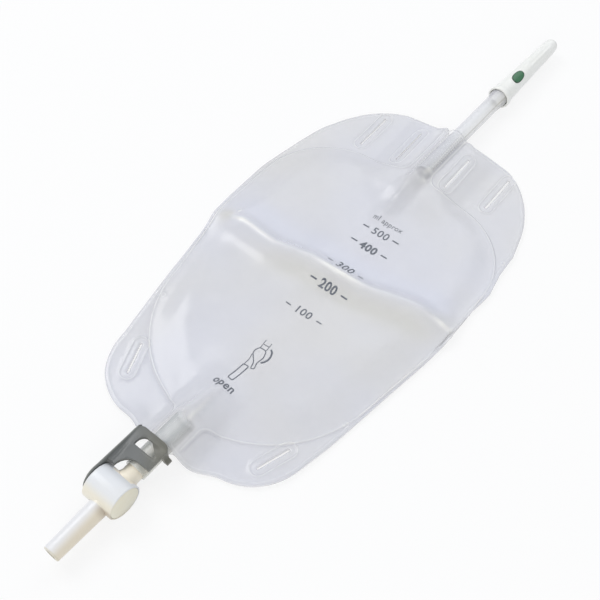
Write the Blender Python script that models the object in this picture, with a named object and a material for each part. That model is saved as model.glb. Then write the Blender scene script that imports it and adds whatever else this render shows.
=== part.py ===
"""Leg-worn urine drainage bag with a lever tap, lying flat on its back film.

Metres, +X across the bag, +Y towards the inlet, +Z up through the printed front film.
The origin is the centre of the whole object's footprint, at table height.
"""

import math

import bmesh
import bpy
from mathutils import Matrix, Vector

# Film sheets
FILM_LENGTH = 0.2294
SHOULDER_WIDTH = 0.140
BELLY_WIDTH = 0.139
TOP_EDGE_WIDTH = 0.114
BOTTOM_EDGE_WIDTH = 0.098
SHOULDER_HEIGHT = 0.1179
BELLY_HEIGHT = 0.1495
FILM_THICKNESS = 0.0004
SHEET_GAP = 0.0003
TOP_CORNER_RADIUS = 0.048
SHOULDER_RADIUS = 0.060
BOTTOM_CORNER_RADIUS = 0.030
TAB_WIDTH = 0.017
TAB_LENGTH = 0.003
TAB_SLOPE = 0.004

# Pouch between the welds
POUCH_TOP_INSET = 0.038
POUCH_TOP_WIDTH = 0.1312
POUCH_SIDE_INSET = 0.0018
POUCH_TOP_RADIUS = 0.040
POUCH_HIP_HEIGHT = 0.0629
POUCH_LOWER_HEIGHT = 0.0299
POUCH_LOWER_WIDTH = 0.102
POUCH_LOWER_RADIUS = 0.060
POUCH_OUTLET_HEIGHT = 0.0128
POUCH_HEIGHT = 0.0040
POUCH_RISE_LENGTH = 0.018

# Transverse crease left by the packing fold
CREASE_HEIGHT = 0.0052
CREASE_SPREAD = 0.0058
CREASE_POSITION = 0.1140
CREASE_SLOPE = 0.085
CREASE_END_SHARE = 0.35
CREASE_END_START = 0.042
CREASE_END_LENGTH = 0.026

# How the sheets stand over the tubes and rise to them from the table
TENT_SPREAD = 0.0085
TENT_ROOM = 0.00065
LIFT_CORE = 0.0030
LIFT_SPREAD = 0.0080
LIFT_RUN = 0.034

# Strap slits
SLIT_WIDTH = 0.0013
UPPER_SLIT_LENGTH = 0.024
UPPER_SLIT_INSET = 0.0215
OUTER_SLIT_OFFSET = 0.038
INNER_SLIT_OFFSET = 0.0152
LOWER_SLIT_LENGTH = 0.0165
LOWER_SLIT_HEIGHT = 0.0219
LOWER_SLIT_OFFSET = 0.0405
LOWER_SLIT_TILT = math.radians(20)

# Running and seating clearance between neighbouring pieces, broken edges and cutter overshoot
CLEARANCE = 0.0003
EDGE_BREAK = 0.0003
OVERSHOOT = 0.001

# Inlet line: tube, connector and cap on one axis
INLET_LEAN = math.radians(1.55)
INLET_OFFSET = 0.0023
INLET_DEPTH = 0.0365
TUBE_RADIUS = 0.0043
TUBE_WALL = 0.0011
TUBE_FREE_LENGTH = 0.0358
TUBE_FLARE_RADIUS = 0.0050
TUBE_FLARE_LENGTH = 0.008
TUBE_FLARE_SHARE = 0.35
BARB_RADIUS = 0.0034
BARB_LENGTH = 0.013
BARB_TAPER = 0.0006
BARB_TAPER_LENGTH = 0.002
CONNECTOR_BORE_RADIUS = 0.0019
CONNECTOR_FLANGE_RADIUS = 0.0049
CONNECTOR_FLANGE_LENGTH = 0.002
CONNECTOR_BASE_RADIUS = 0.0041
CONNECTOR_TIP_RADIUS = 0.0027
CONNECTOR_STEPS = 5
CONNECTOR_STEP_TAPER = 1.4
CAP_LENGTH = 0.0590
CAP_MOUTH_RADIUS = 0.0058
CAP_SHOULDER_RADIUS = 0.0045
CAP_NOSE_LENGTH = 0.015
CAP_NOSE_WALL = 0.0053
CAP_CAVITY_STEP = 0.0004
CAP_TIP_RADIUS = 0.0030
CAP_WALL = 0.0008
CAP_BEAD_RADIUS = 0.0064
CAP_BEAD_LENGTH = 0.0030
CAP_BEAD_EDGE = 0.0004
CAP_NOSE_ROUND = 0.0016
FLUTE_COUNT = 12
FLUTE_DEPTH = 0.00035
FLUTE_START = 0.028
FLUTE_RAMP = 0.002
FLUTE_NOSE_SHARE = 0.55
MARKER_LENGTH = 0.0098
MARKER_WIDTH = 0.0066
MARKER_POSITION = 0.0165
MARKER_TURN = math.radians(18)
MARKER_THICKNESS = 0.0004
MARKER_RECESS = 0.00055
MARKER_SQUARENESS = 0.85

# Non-return valve
VALVE_LENGTH = 0.030
VALVE_END_HALF_WIDTH = 0.0060
VALVE_END_HALF_HEIGHT = 0.00075
VALVE_WALL = 0.0003

# Outlet line: port tube and tap on one axis
OUTLET_LEAN = math.radians(1.9)
OUTLET_OFFSET = 0.00055
TAP_DROP = 0.0319
PORT_RADIUS = 0.0052
PORT_WALL = 0.0006
PORT_START = 0.0125
PORT_LENGTH = 0.0302
NECK_LENGTH = 0.0245
NECK_TAPER = 0.0006
NECK_TAPER_LENGTH = 0.0015
BARREL_RADIUS = 0.0082
BARREL_LENGTH = 0.0162
BARREL_OFFSET = -0.00115
BARREL_EDGE = 0.0005
SPOUT_LENGTH = 0.0331
SPOUT_BASE_RADIUS = 0.0048
SPOUT_TIP_RADIUS = 0.0040
FLOW_RADIUS = 0.0026
SPINDLE_RADIUS = 0.0058
SPINDLE_HEAD_RADIUS = 0.0069
SPINDLE_HEAD_LENGTH = 0.0012
DRIVE_WIDTH = 0.0056

# Tap lever
OPEN_ANGLE = math.radians(120)
ARM_THICKNESS = 0.0010
ARM_TAPER = 0.004
HUB_RADIUS = 0.0078
HUB_CENTRE_Y = 0.0012
HUB_CENTRE_Z = 0.0006
PLATE_TOP = 0.0073
PLATE_THICKNESS = 0.0016
PLATE_END = 0.0275
PLATE_REACH = 0.0072
PLATE_LOWER_EDGE = 0.0144
PLATE_CORNER_RADIUS = 0.0034
TIP_CHAMFER = 0.001
STEM_WIDTH = 0.0049
STEM_FILLET = 0.0070
RIM_DEPTH = 0.0026
LEG_THICKNESS = 0.0015
LEG_WIDTH = 0.0026
LEG_INSET = 0.0020
LEG_DEPTH = 0.0068
LEG_FOOT = 0.0013
LEG_FOOT_DEPTH = 0.0014
LEG_FOOT_SLOPE = 0.0008
LEG_ROOT = 0.0005
WINDOW_LEFT = -0.0061
WINDOW_RIGHT = 0.0049
WINDOW_LOW = 0.0192
WINDOW_HIGH = 0.0245
WINDOW_PEAK = -0.0008
WINDOW_RIGHT_HEIGHT = 0.0014
WINDOW_ROUND = 0.0036
WINDOW_CORNER_RADIUS = 0.0007

# Facets around round pieces
BARREL_FACETS = 40
TUBE_FACETS = 28
BORE_FACETS = 20
CAP_FACETS = 36

# Faces that meet at a larger angle than this, in degrees, keep a crisp edge
SHARP_ANGLE = 35

# Places worked out from the sizes
cap_mouth_y = INLET_DEPTH + TUBE_FREE_LENGTH
flare_end_y = cap_mouth_y + TUBE_FLARE_LENGTH
cap_shoulder = CAP_LENGTH - CAP_NOSE_LENGTH
cavity_end = TUBE_FLARE_LENGTH + CLEARANCE * 2 + CONNECTOR_FLANGE_LENGTH
cavity_tip = CAP_LENGTH - CAP_NOSE_WALL
connector_step = (cavity_tip - CLEARANCE * 2 - cavity_end) / CONNECTOR_STEPS
reach_up = (cap_mouth_y + CAP_LENGTH) * math.cos(INLET_LEAN) - INLET_DEPTH
reach_down = TAP_DROP + SPOUT_LENGTH * math.cos(OUTLET_LEAN) + SPOUT_TIP_RADIUS * math.sin(OUTLET_LEAN)
film_bottom = -(reach_up + FILM_LENGTH + reach_down) / 2 + reach_down
film_top = film_bottom + FILM_LENGTH
inlet_origin = Vector((INLET_OFFSET, film_top - INLET_DEPTH, CAP_BEAD_RADIUS))
tap_origin = Vector((OUTLET_OFFSET, film_bottom - TAP_DROP, BARREL_RADIUS))
port_end_y = PORT_START + PORT_LENGTH
weld_height = FILM_THICKNESS + SHEET_GAP / 2


def clear_scene():
    """Remove what the open file holds, so that the model starts from nothing."""
    for obj in list(bpy.data.objects):
        bpy.data.objects.remove(obj, do_unlink=True)


def make_material(name, colour, roughness, alpha=1.0, transmission=0.0):
    """A plain plastic surface."""
    material = bpy.data.materials.new(name)
    material.use_nodes = True
    shader = material.node_tree.nodes["Principled BSDF"]
    shader.inputs["Base Color"].default_value = (*colour, 1.0)
    shader.inputs["Roughness"].default_value = roughness
    shader.inputs["Metallic"].default_value = 0.0
    shader.inputs["Alpha"].default_value = alpha
    shader.inputs["Transmission Weight"].default_value = transmission
    return material


def add_object(name, bm, material=None, sharp_angle=SHARP_ANGLE):
    """Turn a bmesh into an object of the scene."""
    mesh = bpy.data.meshes.new(name)
    bmesh.ops.recalc_face_normals(bm, faces=bm.faces)
    bm.to_mesh(mesh)
    bm.free()
    mesh.shade_smooth()
    mesh.set_sharp_from_angle(angle=math.radians(sharp_angle))
    if material:
        mesh.materials.append(material)
    obj = bpy.data.objects.new(name, mesh)
    bpy.context.scene.collection.objects.link(obj)
    return obj


def add_empty(name, location, turn):
    """An empty that carries one line of pieces, turned about the vertical."""
    empty = bpy.data.objects.new(name, None)
    empty.location = location
    empty.rotation_euler = (0, 0, turn)
    bpy.context.scene.collection.objects.link(empty)
    return empty


def combine(base, tool, operation):
    """Apply one exact Boolean to the base and remove the tool."""
    modifier = base.modifiers.new(operation.title(), "BOOLEAN")
    modifier.operation = operation
    modifier.solver = "EXACT"
    modifier.object = tool
    graph = bpy.context.evaluated_depsgraph_get()
    mesh = bpy.data.meshes.new_from_object(base.evaluated_get(graph))
    base.modifiers.clear()
    old_mesh = base.data
    base.data = mesh
    bpy.data.meshes.remove(old_mesh)
    bpy.data.objects.remove(tool, do_unlink=True)
    base.data.shade_smooth()
    base.data.set_sharp_from_angle(angle=math.radians(SHARP_ANGLE))


def turned(profile, facets, closed=True, axis="Y"):
    """Spin a profile of (position, radius) points about the line of its positions."""
    bm = bmesh.new()
    if axis == "Y":
        verts = [bm.verts.new((radius, place, 0)) for place, radius in profile]
        spin_axis = (0, 1, 0)
    else:
        verts = [bm.verts.new((place, radius, 0)) for place, radius in profile]
        spin_axis = (1, 0, 0)
    edges = [bm.edges.new(pair) for pair in zip(verts, verts[1:])]
    if closed:
        edges.append(bm.edges.new((verts[-1], verts[0])))
    bmesh.ops.spin(bm, geom=verts + edges, cent=(0, 0, 0), axis=spin_axis, angle=2 * math.pi,
                   steps=facets, use_merge=True)
    bmesh.ops.remove_doubles(bm, verts=bm.verts, dist=1e-7)
    return bm


def prism(outline, direction):
    """Extrude a flat outline of 3-D points by a direction."""
    bm = bmesh.new()
    face = bm.faces.new([bm.verts.new(point) for point in outline])
    grown = bmesh.ops.extrude_face_region(bm, geom=[face])
    moved = [item for item in grown["geom"] if isinstance(item, bmesh.types.BMVert)]
    bmesh.ops.translate(bm, verts=moved, vec=direction)
    return bm


def soften(bm, width, segments=1):
    """Bevel the sharp edges of a prism."""
    sharp = [edge for edge in bm.edges if edge.calc_face_angle(0) > math.radians(50)]
    bmesh.ops.bevel(bm, geom=sharp, offset=width, offset_type="OFFSET", segments=segments,
                    profile=0.5, affect="EDGES", material=-1, clamp_overlap=True)
    return bm


def arc(centre, radius, start, stop, count):
    """Points of an arc, angles in degrees."""
    points = []
    for step in range(count + 1):
        angle = math.radians(start + (stop - start) * step / count)
        points.append((centre[0] + radius * math.cos(angle), centre[1] + radius * math.sin(angle)))
    return points


def capsule(centre, length, width, tilt, count=5):
    """Outline of a slit with round ends, its length along Y before it is tilted."""
    radius = width / 2
    straight = length / 2 - radius
    outline = arc((0, straight), radius, 0, 180, count) + arc((0, -straight), radius, 180, 360, count)
    turn = Matrix.Rotation(tilt, 2)
    return [Vector(centre) + turn @ Vector(point) for point in outline]


def square_corners(side):
    """Corners of a square about the middle, from half its width."""
    return [(-side, -side), (side, -side), (side, side), (-side, side)]


def rounded(corners, count=7):
    """Outline of a polygon with round corners, from (x, y, radius) corners."""
    outline = []
    for index, (x, y, radius) in enumerate(corners):
        here = Vector((x, y))
        back = (Vector(corners[index - 1][:2]) - here).normalized()
        ahead = (Vector(corners[(index + 1) % len(corners)][:2]) - here).normalized()
        half_turn = (math.pi - back.angle(ahead)) / 2
        if radius == 0:
            outline.append(here)
            continue
        middle = here + (back + ahead).normalized() * radius / math.cos(half_turn)
        first = here + back * radius * math.tan(half_turn) - middle
        last = here + ahead * radius * math.tan(half_turn) - middle
        sweep = first.angle_signed(last)
        for step in range(count + 1):
            outline.append(middle + Matrix.Rotation(-sweep * step / count, 2) @ first)
    return outline


def smooth_step(value):
    """Ease from 0 to 1 as the value goes from 0 to 1."""
    value = min(max(value, 0.0), 1.0)
    return value * value * (3 - 2 * value)


def mirrored(corners):
    """A whole symmetric outline from the corners of its right half, listed top to bottom."""
    return corners + [(-x, y, radius) for x, y, radius in reversed(corners)]


def film_outline():
    """Edge of both sheets."""
    return rounded(mirrored([
        (TOP_EDGE_WIDTH / 2, film_top, TOP_CORNER_RADIUS),
        (BELLY_WIDTH / 2, film_bottom + BELLY_HEIGHT, SHOULDER_RADIUS),
        (SHOULDER_WIDTH / 2, film_bottom + SHOULDER_HEIGHT, SHOULDER_RADIUS),
        (BOTTOM_EDGE_WIDTH / 2, film_bottom, BOTTOM_CORNER_RADIUS),
    ]), 12)


def side_half_width(y):
    """Half the film's width between its shoulders and its lower corners, before these are rounded."""
    share = (film_bottom + SHOULDER_HEIGHT - y) / SHOULDER_HEIGHT
    return (SHOULDER_WIDTH + (BOTTOM_EDGE_WIDTH - SHOULDER_WIDTH) * share) / 2


def pouch_outline():
    """The weld line that closes the bag space, without its channels to the ports."""
    hip_y = film_bottom + POUCH_HIP_HEIGHT
    lower_y = film_bottom + POUCH_LOWER_HEIGHT
    shoulder_y = film_bottom + SHOULDER_HEIGHT
    return rounded(mirrored([
        (POUCH_TOP_WIDTH / 2, film_top - POUCH_TOP_INSET, POUCH_TOP_RADIUS),
        (side_half_width(shoulder_y) - POUCH_SIDE_INSET, shoulder_y, 0),
        (side_half_width(hip_y) - POUCH_SIDE_INSET, hip_y, 0),
        (POUCH_LOWER_WIDTH / 2, lower_y, POUCH_LOWER_RADIUS),
        (TAB_WIDTH / 2, film_bottom + POUCH_OUTLET_HEIGHT, 0),
    ]), 10)


def depth_inside(point, outline):
    """Distance from a point to an outline around it, or 0 outside."""
    nearest = math.inf
    inside = False
    for start, end in zip(outline, outline[1:] + outline[:1]):
        edge = end - start
        share = min(max((point - start).dot(edge) / max(edge.length_squared, 1e-18), 0.0), 1.0)
        nearest = min(nearest, (point - start - edge * share).length)
        if (start.y > point.y) != (end.y > point.y):
            if point.x < start.x + (point.y - start.y) / (end.y - start.y) * edge.x:
                inside = not inside
    return nearest if inside else 0.0


def half_width(y, outline):
    """Widest reach of an outline at a height."""
    reach = 0.0
    for start, end in zip(outline, outline[1:] + outline[:1]):
        if min(start.y, end.y) - 1e-9 <= y <= max(start.y, end.y) + 1e-9:
            rise = end.y - start.y
            share = (y - start.y) / rise if abs(rise) > 1e-9 else 0.0
            reach = max(reach, abs(start.x + (end.x - start.x) * share))
    return reach


def inlet_x(y):
    """Where the inlet line crosses a height."""
    return inlet_origin.x + (y - inlet_origin.y) * math.tan(INLET_LEAN)


def outlet_x(y):
    """Where the outlet line crosses a height."""
    return tap_origin.x + (y - tap_origin.y) * math.tan(OUTLET_LEAN)


def valve_share(y):
    """How far down the valve a height lies, from 0 at the tube to 1 at its free end."""
    return min(max((inlet_origin.y - CLEARANCE - y) / VALVE_LENGTH, 0.0), 1.0)


def valve_half_height(y):
    """Half the valve's depth, from the tube's round end to the flat lips."""
    return TUBE_RADIUS + (VALVE_END_HALF_HEIGHT - TUBE_RADIUS) * smooth_step(valve_share(y))


def tent(offset, radius, spread):
    """Height of a taut film over a round core, beside the core's axis."""
    offset = abs(offset)
    if radius <= 0 or offset >= spread:
        return 0.0
    if offset < radius * radius / spread:
        return math.sqrt(radius * radius - offset * offset)
    return (spread - offset) * radius / math.sqrt(spread * spread - radius * radius)


def core_tent(x, y):
    """Half the distance that the tubes and the valve push the sheets apart."""
    inlet_core = valve_half_height(y) + TENT_ROOM
    past_valve = inlet_origin.y - VALVE_LENGTH - y
    inlet_core *= 1 - smooth_step(past_valve / POUCH_RISE_LENGTH)
    port_top = tap_origin.y + port_end_y
    outlet_core = (PORT_RADIUS + TENT_ROOM) * (1 - smooth_step((y - port_top - CLEARANCE) / LIFT_RUN))
    over_inlet = tent(x - inlet_x(y), inlet_core, TENT_SPREAD)
    return max(over_inlet, tent(x - outlet_x(y), outlet_core, TENT_SPREAD))


def middle_height(x, y):
    """Height of the plane between the sheets: the table, the crease and the lift to each line."""
    inlet_side = 1 - smooth_step((abs(x - inlet_x(y)) - LIFT_CORE) / LIFT_SPREAD)
    inlet_side *= 1 - smooth_step((inlet_origin.y - y) / LIFT_RUN)
    outlet_side = 1 - smooth_step((abs(x - outlet_x(y)) - LIFT_CORE) / LIFT_SPREAD)
    outlet_side *= 1 - smooth_step((y - tap_origin.y - port_end_y) / LIFT_RUN)
    off_crease = (y - film_bottom - CREASE_POSITION - CREASE_SLOPE * x) / CREASE_SPREAD
    crease = CREASE_HEIGHT * math.exp(-off_crease * off_crease)
    crease *= 1 - (1 - CREASE_END_SHARE) * smooth_step((abs(x) - CREASE_END_START) / CREASE_END_LENGTH)
    lift = max((inlet_origin.z - weld_height) * inlet_side, (tap_origin.z - weld_height) * outlet_side)
    return weld_height + lift + crease


def back_height(x, y):
    """Upper side of the back sheet."""
    return max(FILM_THICKNESS, middle_height(x, y) - SHEET_GAP / 2 - core_tent(x, y))


def front_height(x, y, pouch):
    """Lower side of the front sheet."""
    rise = POUCH_HEIGHT * smooth_step(depth_inside(Vector((x, y)), pouch) / POUCH_RISE_LENGTH)
    return back_height(x, y) + SHEET_GAP + 2 * core_tent(x, y) + rise


def film_rows():
    """Heights of the sheet's rows, closer at the round corners, the ports and the crease."""
    low_middle = film_bottom + BOTTOM_CORNER_RADIUS
    high_middle = film_top - TOP_CORNER_RADIUS
    crease = film_bottom + CREASE_POSITION
    rows = [low_middle - BOTTOM_CORNER_RADIUS * math.sin(math.radians(angle))
            for angle in (90, 70, 50, 32, 15, 0)]
    step_count = 8
    below = crease - 2.6 * CREASE_SPREAD
    rows += [low_middle + (below - low_middle) * step / step_count for step in range(1, step_count + 1)]
    rows += [crease + offset * CREASE_SPREAD for offset in (-1.7, -1.0, -0.5, 0.0, 0.5, 1.0, 1.7, 2.6)]
    above = crease + 4 * CREASE_SPREAD
    rows += [above + (high_middle - above) * step / 4 for step in range(4)]
    rows += [high_middle + TOP_CORNER_RADIUS * math.sin(math.radians(angle))
             for angle in (0, 10, 20, 30, 41, 52, 64, 76, 90)]
    return rows


def film_sheet(name, height, material):
    """One sheet: a grid fitted to the outline, raised by its height rule, thickened and slit."""
    outline = film_outline()
    shares = (0.16, 0.32, 0.48, 0.64, 0.81, 1.0)
    core_lines = [-(LIFT_CORE + LIFT_SPREAD) * share for share in reversed(shares)] + [0.0]
    core_lines += [(LIFT_CORE + LIFT_SPREAD) * share for share in shares]
    outer_shares = (0.2, 0.4, 0.6, 0.8, 1.0)
    bm = bmesh.new()
    rows = []
    heights = film_rows()
    for y in heights:
        reach = half_width(min(max(y, film_bottom + 1e-6), film_top - 1e-6), outline)
        axis = inlet_x(y) if y > film_bottom + CREASE_POSITION else outlet_x(y)
        left, right = axis + core_lines[0], axis + core_lines[-1]
        places = [left - (left + reach) * share for share in reversed(outer_shares)]
        places += [axis + line for line in core_lines]
        places += [right + (reach - right) * share for share in outer_shares]
        row = []
        for x in places:
            tab = TAB_LENGTH * smooth_step((TAB_WIDTH / 2 + TAB_SLOPE - abs(x - axis)) / TAB_SLOPE)
            tab *= (y == heights[-1]) - (y == heights[0])
            row.append(bm.verts.new((x, y + tab, height(x, y))))
        rows.append(row)
    for lower, upper in zip(rows, rows[1:]):
        for index in range(len(lower) - 1):
            bm.faces.new((lower[index], lower[index + 1], upper[index + 1], upper[index]))
    grown = bmesh.ops.extrude_face_region(bm, geom=list(bm.faces))
    moved = [item for item in grown["geom"] if isinstance(item, bmesh.types.BMVert)]
    bmesh.ops.translate(bm, verts=moved, vec=(0, 0, FILM_THICKNESS))
    bmesh.ops.triangulate(bm, faces=bm.faces)
    sheet = add_object(name, bm, material, sharp_angle=60)
    for index, (centre, length, tilt) in enumerate(strap_slits()):
        outline = [Vector((*point, -OVERSHOOT)) for point in capsule(centre, length, SLIT_WIDTH, tilt)]
        cutter = add_object(f"slit_cutter_{index}", prism(outline, (0, 0, tap_origin.z + 2 * OVERSHOOT)))
        combine(sheet, cutter, "DIFFERENCE")
    return sheet


def strap_slits():
    """Centre, length and tilt of each slit that a leg strap passes through."""
    slits = []
    upper_y = film_top - UPPER_SLIT_INSET
    for offset in (-OUTER_SLIT_OFFSET, -INNER_SLIT_OFFSET, INNER_SLIT_OFFSET, OUTER_SLIT_OFFSET):
        slits.append(((offset, upper_y), UPPER_SLIT_LENGTH, 0.0))
    lower_y = film_bottom + LOWER_SLIT_HEIGHT
    slits.append(((-LOWER_SLIT_OFFSET, lower_y), LOWER_SLIT_LENGTH, LOWER_SLIT_TILT))
    slits.append(((LOWER_SLIT_OFFSET, lower_y), LOWER_SLIT_LENGTH, -LOWER_SLIT_TILT))
    return slits


def make_films(material):
    """The two sheets, one over the other."""
    pouch = pouch_outline()
    film_sheet("back_film", lambda x, y: back_height(x, y) - FILM_THICKNESS, material)
    film_sheet("front_film", lambda x, y: front_height(x, y, pouch), material)


def make_valve(material):
    """Film sleeve that starts round at the tube and ends as two flat lips."""
    bm = bmesh.new()
    facets = 20
    stations = 8
    loops = []
    for wall, shares in ((0.0, range(stations + 1)), (VALVE_WALL, range(stations, -1, -1))):
        for station in shares:
            y = inlet_origin.y - CLEARANCE - VALVE_LENGTH * station / stations
            eased = smooth_step(station / stations)
            wide = TUBE_RADIUS + (VALVE_END_HALF_WIDTH - TUBE_RADIUS) * eased - wall
            high = valve_half_height(y) - wall
            centre_x = inlet_x(y)
            centre_z = back_height(centre_x, y) + SHEET_GAP / 2 + core_tent(centre_x, y)
            loop = []
            for facet in range(facets):
                angle = 2 * math.pi * facet / facets
                loop.append(bm.verts.new((centre_x + wide * math.cos(angle), y,
                                          centre_z + high * math.sin(angle))))
            loops.append(loop)
    for near, far in zip(loops, loops[1:] + loops[:1]):
        for facet in range(facets):
            after = (facet + 1) % facets
            bm.faces.new((near[facet], near[after], far[after], far[facet]))
    return add_object("non_return_valve", bm, material)


def make_inlet_tube(material, parent):
    """Soft tube that widens over the connector's barb inside the cap's mouth."""
    flare_start = cap_mouth_y - TUBE_FLARE_LENGTH
    stretch = TUBE_FLARE_RADIUS - TUBE_RADIUS
    bore = TUBE_RADIUS - TUBE_WALL
    outer = [(0, TUBE_RADIUS), (flare_start, TUBE_RADIUS),
             (flare_start + TUBE_FLARE_LENGTH / 2, TUBE_RADIUS + stretch * TUBE_FLARE_SHARE),
             (cap_mouth_y, TUBE_FLARE_RADIUS), (flare_end_y, TUBE_FLARE_RADIUS)]
    barb_start = flare_end_y - BARB_LENGTH
    inner = [(flare_end_y, BARB_RADIUS + CLEARANCE), (barb_start, BARB_RADIUS + CLEARANCE),
             (barb_start - CLEARANCE * 4, bore), (0, bore)]
    tube = add_object("inlet_tube", turned(outer + inner, TUBE_FACETS), material)
    tube.parent = parent
    return tube


def connector_profile():
    """Barb, flange and stepped taper, outside first and then back along the bore."""
    start = flare_end_y - BARB_LENGTH + CLEARANCE
    flange = flare_end_y + CLEARANCE
    step_start = flange + CONNECTOR_FLANGE_LENGTH
    points = [(start, BARB_RADIUS - BARB_TAPER), (start + BARB_TAPER_LENGTH, BARB_RADIUS),
              (flange, BARB_RADIUS), (flange, CONNECTOR_FLANGE_RADIUS),
              (step_start, CONNECTOR_FLANGE_RADIUS)]
    narrowing = (CONNECTOR_TIP_RADIUS - CONNECTOR_BASE_RADIUS) / CONNECTOR_STEPS
    for step in range(CONNECTOR_STEPS):
        points.append((step_start, CONNECTOR_BASE_RADIUS + narrowing * step))
        step_start += connector_step
        points.append((step_start, CONNECTOR_BASE_RADIUS + narrowing * (step + CONNECTOR_STEP_TAPER)))
    points += [(step_start, CONNECTOR_BORE_RADIUS), (start, CONNECTOR_BORE_RADIUS)]
    return points


def make_connector(material, parent):
    """Stepped taper that goes into the catheter once the cap is off."""
    connector = add_object("inlet_connector", turned(connector_profile(), TUBE_FACETS), material)
    connector.parent = parent
    return connector


def cap_radius(place):
    """Outer radius of the cap at a distance from its mouth, without bead and flutes."""
    if place <= cap_shoulder:
        return CAP_MOUTH_RADIUS + (CAP_SHOULDER_RADIUS - CAP_MOUTH_RADIUS) * place / cap_shoulder
    nose = (place - cap_shoulder) / CAP_NOSE_LENGTH
    return CAP_TIP_RADIUS + (CAP_SHOULDER_RADIUS - CAP_TIP_RADIUS) * math.sqrt(max(1 - nose * nose, 0))


def fluted_cap():
    """The cap's shell: bead, taper, flutes and round nose outside, a plain taper inside."""
    outer = [(0.0, CAP_BEAD_RADIUS - CAP_BEAD_EDGE), (CAP_BEAD_EDGE, CAP_BEAD_RADIUS),
             (CAP_BEAD_LENGTH - CAP_BEAD_EDGE, CAP_BEAD_RADIUS),
             (CAP_BEAD_LENGTH, cap_radius(CAP_BEAD_LENGTH))]
    flute_end = cap_shoulder + CAP_NOSE_LENGTH * FLUTE_NOSE_SHARE
    for place in (FLUTE_START, FLUTE_START + FLUTE_RAMP, (FLUTE_START + flute_end) / 2,
                  cap_shoulder, flute_end - FLUTE_RAMP, flute_end):
        outer.append((place, cap_radius(place)))
    for share in (0.75, 0.90):
        place = cap_shoulder + CAP_NOSE_LENGTH * share
        outer.append((place, cap_radius(place)))
    outer += [(CAP_LENGTH - CAP_NOSE_ROUND * 0.4, CAP_TIP_RADIUS),
              (CAP_LENGTH, CAP_TIP_RADIUS - CAP_NOSE_ROUND), (CAP_LENGTH, 0.0)]
    inner = [(cavity_tip, 0.0), (cavity_tip, cap_radius(cavity_tip) - CAP_WALL),
             (cavity_end + CAP_CAVITY_STEP, cap_radius(cavity_end) - CAP_WALL),
             (cavity_end, TUBE_FLARE_RADIUS + CLEARANCE),
             (0.0, TUBE_FLARE_RADIUS + CLEARANCE)]
    bm = turned(outer + inner, CAP_FACETS)
    for vert in bm.verts:
        radius = math.hypot(vert.co.x, vert.co.z)
        outside = radius > cap_radius(vert.co.y) - CAP_WALL / 2
        ramp = smooth_step((vert.co.y - FLUTE_START) / FLUTE_RAMP)
        ramp *= smooth_step((flute_end - vert.co.y) / FLUTE_RAMP)
        if outside and ramp > 0:
            angle = math.atan2(vert.co.z, vert.co.x)
            cut = FLUTE_DEPTH * ramp * (0.5 - 0.5 * math.cos(FLUTE_COUNT * angle))
            vert.co.x *= 1 - cut / radius
            vert.co.z *= 1 - cut / radius
    return bm


def oval_patch(length, width, low, high):
    """An oval plate curved to the cap's side, between two offsets from its surface."""
    bm = bmesh.new()
    segments = 20
    rings = []
    for share in (1.0, 0.55):
        ring = []
        for segment in range(segments):
            angle = 2 * math.pi * segment / segments
            across = abs(math.cos(angle)) ** MARKER_SQUARENESS * math.copysign(width / 2, math.cos(angle))
            along = abs(math.sin(angle)) ** MARKER_SQUARENESS * math.copysign(length / 2, math.sin(angle))
            ring.append(bm.verts.new((across * share, along * share, 0)))
        rings.append(ring)
    for segment in range(segments):
        after = (segment + 1) % segments
        bm.faces.new((rings[0][segment], rings[0][after], rings[1][after], rings[1][segment]))
    bm.faces.new(rings[1])
    grown = bmesh.ops.extrude_face_region(bm, geom=list(bm.faces))
    top = {item for item in grown["geom"] if isinstance(item, bmesh.types.BMVert)}
    for vert in bm.verts:
        radius = cap_radius(MARKER_POSITION + vert.co.y) + (high if vert in top else low)
        angle = vert.co.x / cap_radius(MARKER_POSITION) + MARKER_TURN
        vert.co = (radius * math.sin(angle), vert.co.y + MARKER_POSITION, radius * math.cos(angle))
    return bm


def make_cap(cap_material, marker_material, parent):
    """The pull-off cap and the green oval seated in its side."""
    cap = add_object("connector_cap", fluted_cap(), cap_material)
    seat = oval_patch(MARKER_LENGTH + 2 * CLEARANCE, MARKER_WIDTH + 2 * CLEARANCE,
                      -MARKER_RECESS, OVERSHOOT)
    combine(cap, add_object("marker_seat_cutter", seat), "DIFFERENCE")
    low = CLEARANCE - MARKER_RECESS
    marker = add_object("cap_marker", oval_patch(MARKER_LENGTH, MARKER_WIDTH, low, low + MARKER_THICKNESS),
                        marker_material)
    for piece in (cap, marker):
        piece.parent = parent
        piece.location = (0, cap_mouth_y, 0)


def make_port(material, parent):
    """Thin tube welded between the sheets at the bottom, slid over the tap's neck."""
    bore = PORT_RADIUS - PORT_WALL
    profile = [(PORT_START, PORT_RADIUS), (port_end_y, PORT_RADIUS), (port_end_y, bore), (PORT_START, bore)]
    port = add_object("outlet_port", turned(profile, TUBE_FACETS), material)
    port.parent = parent
    return port


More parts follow.
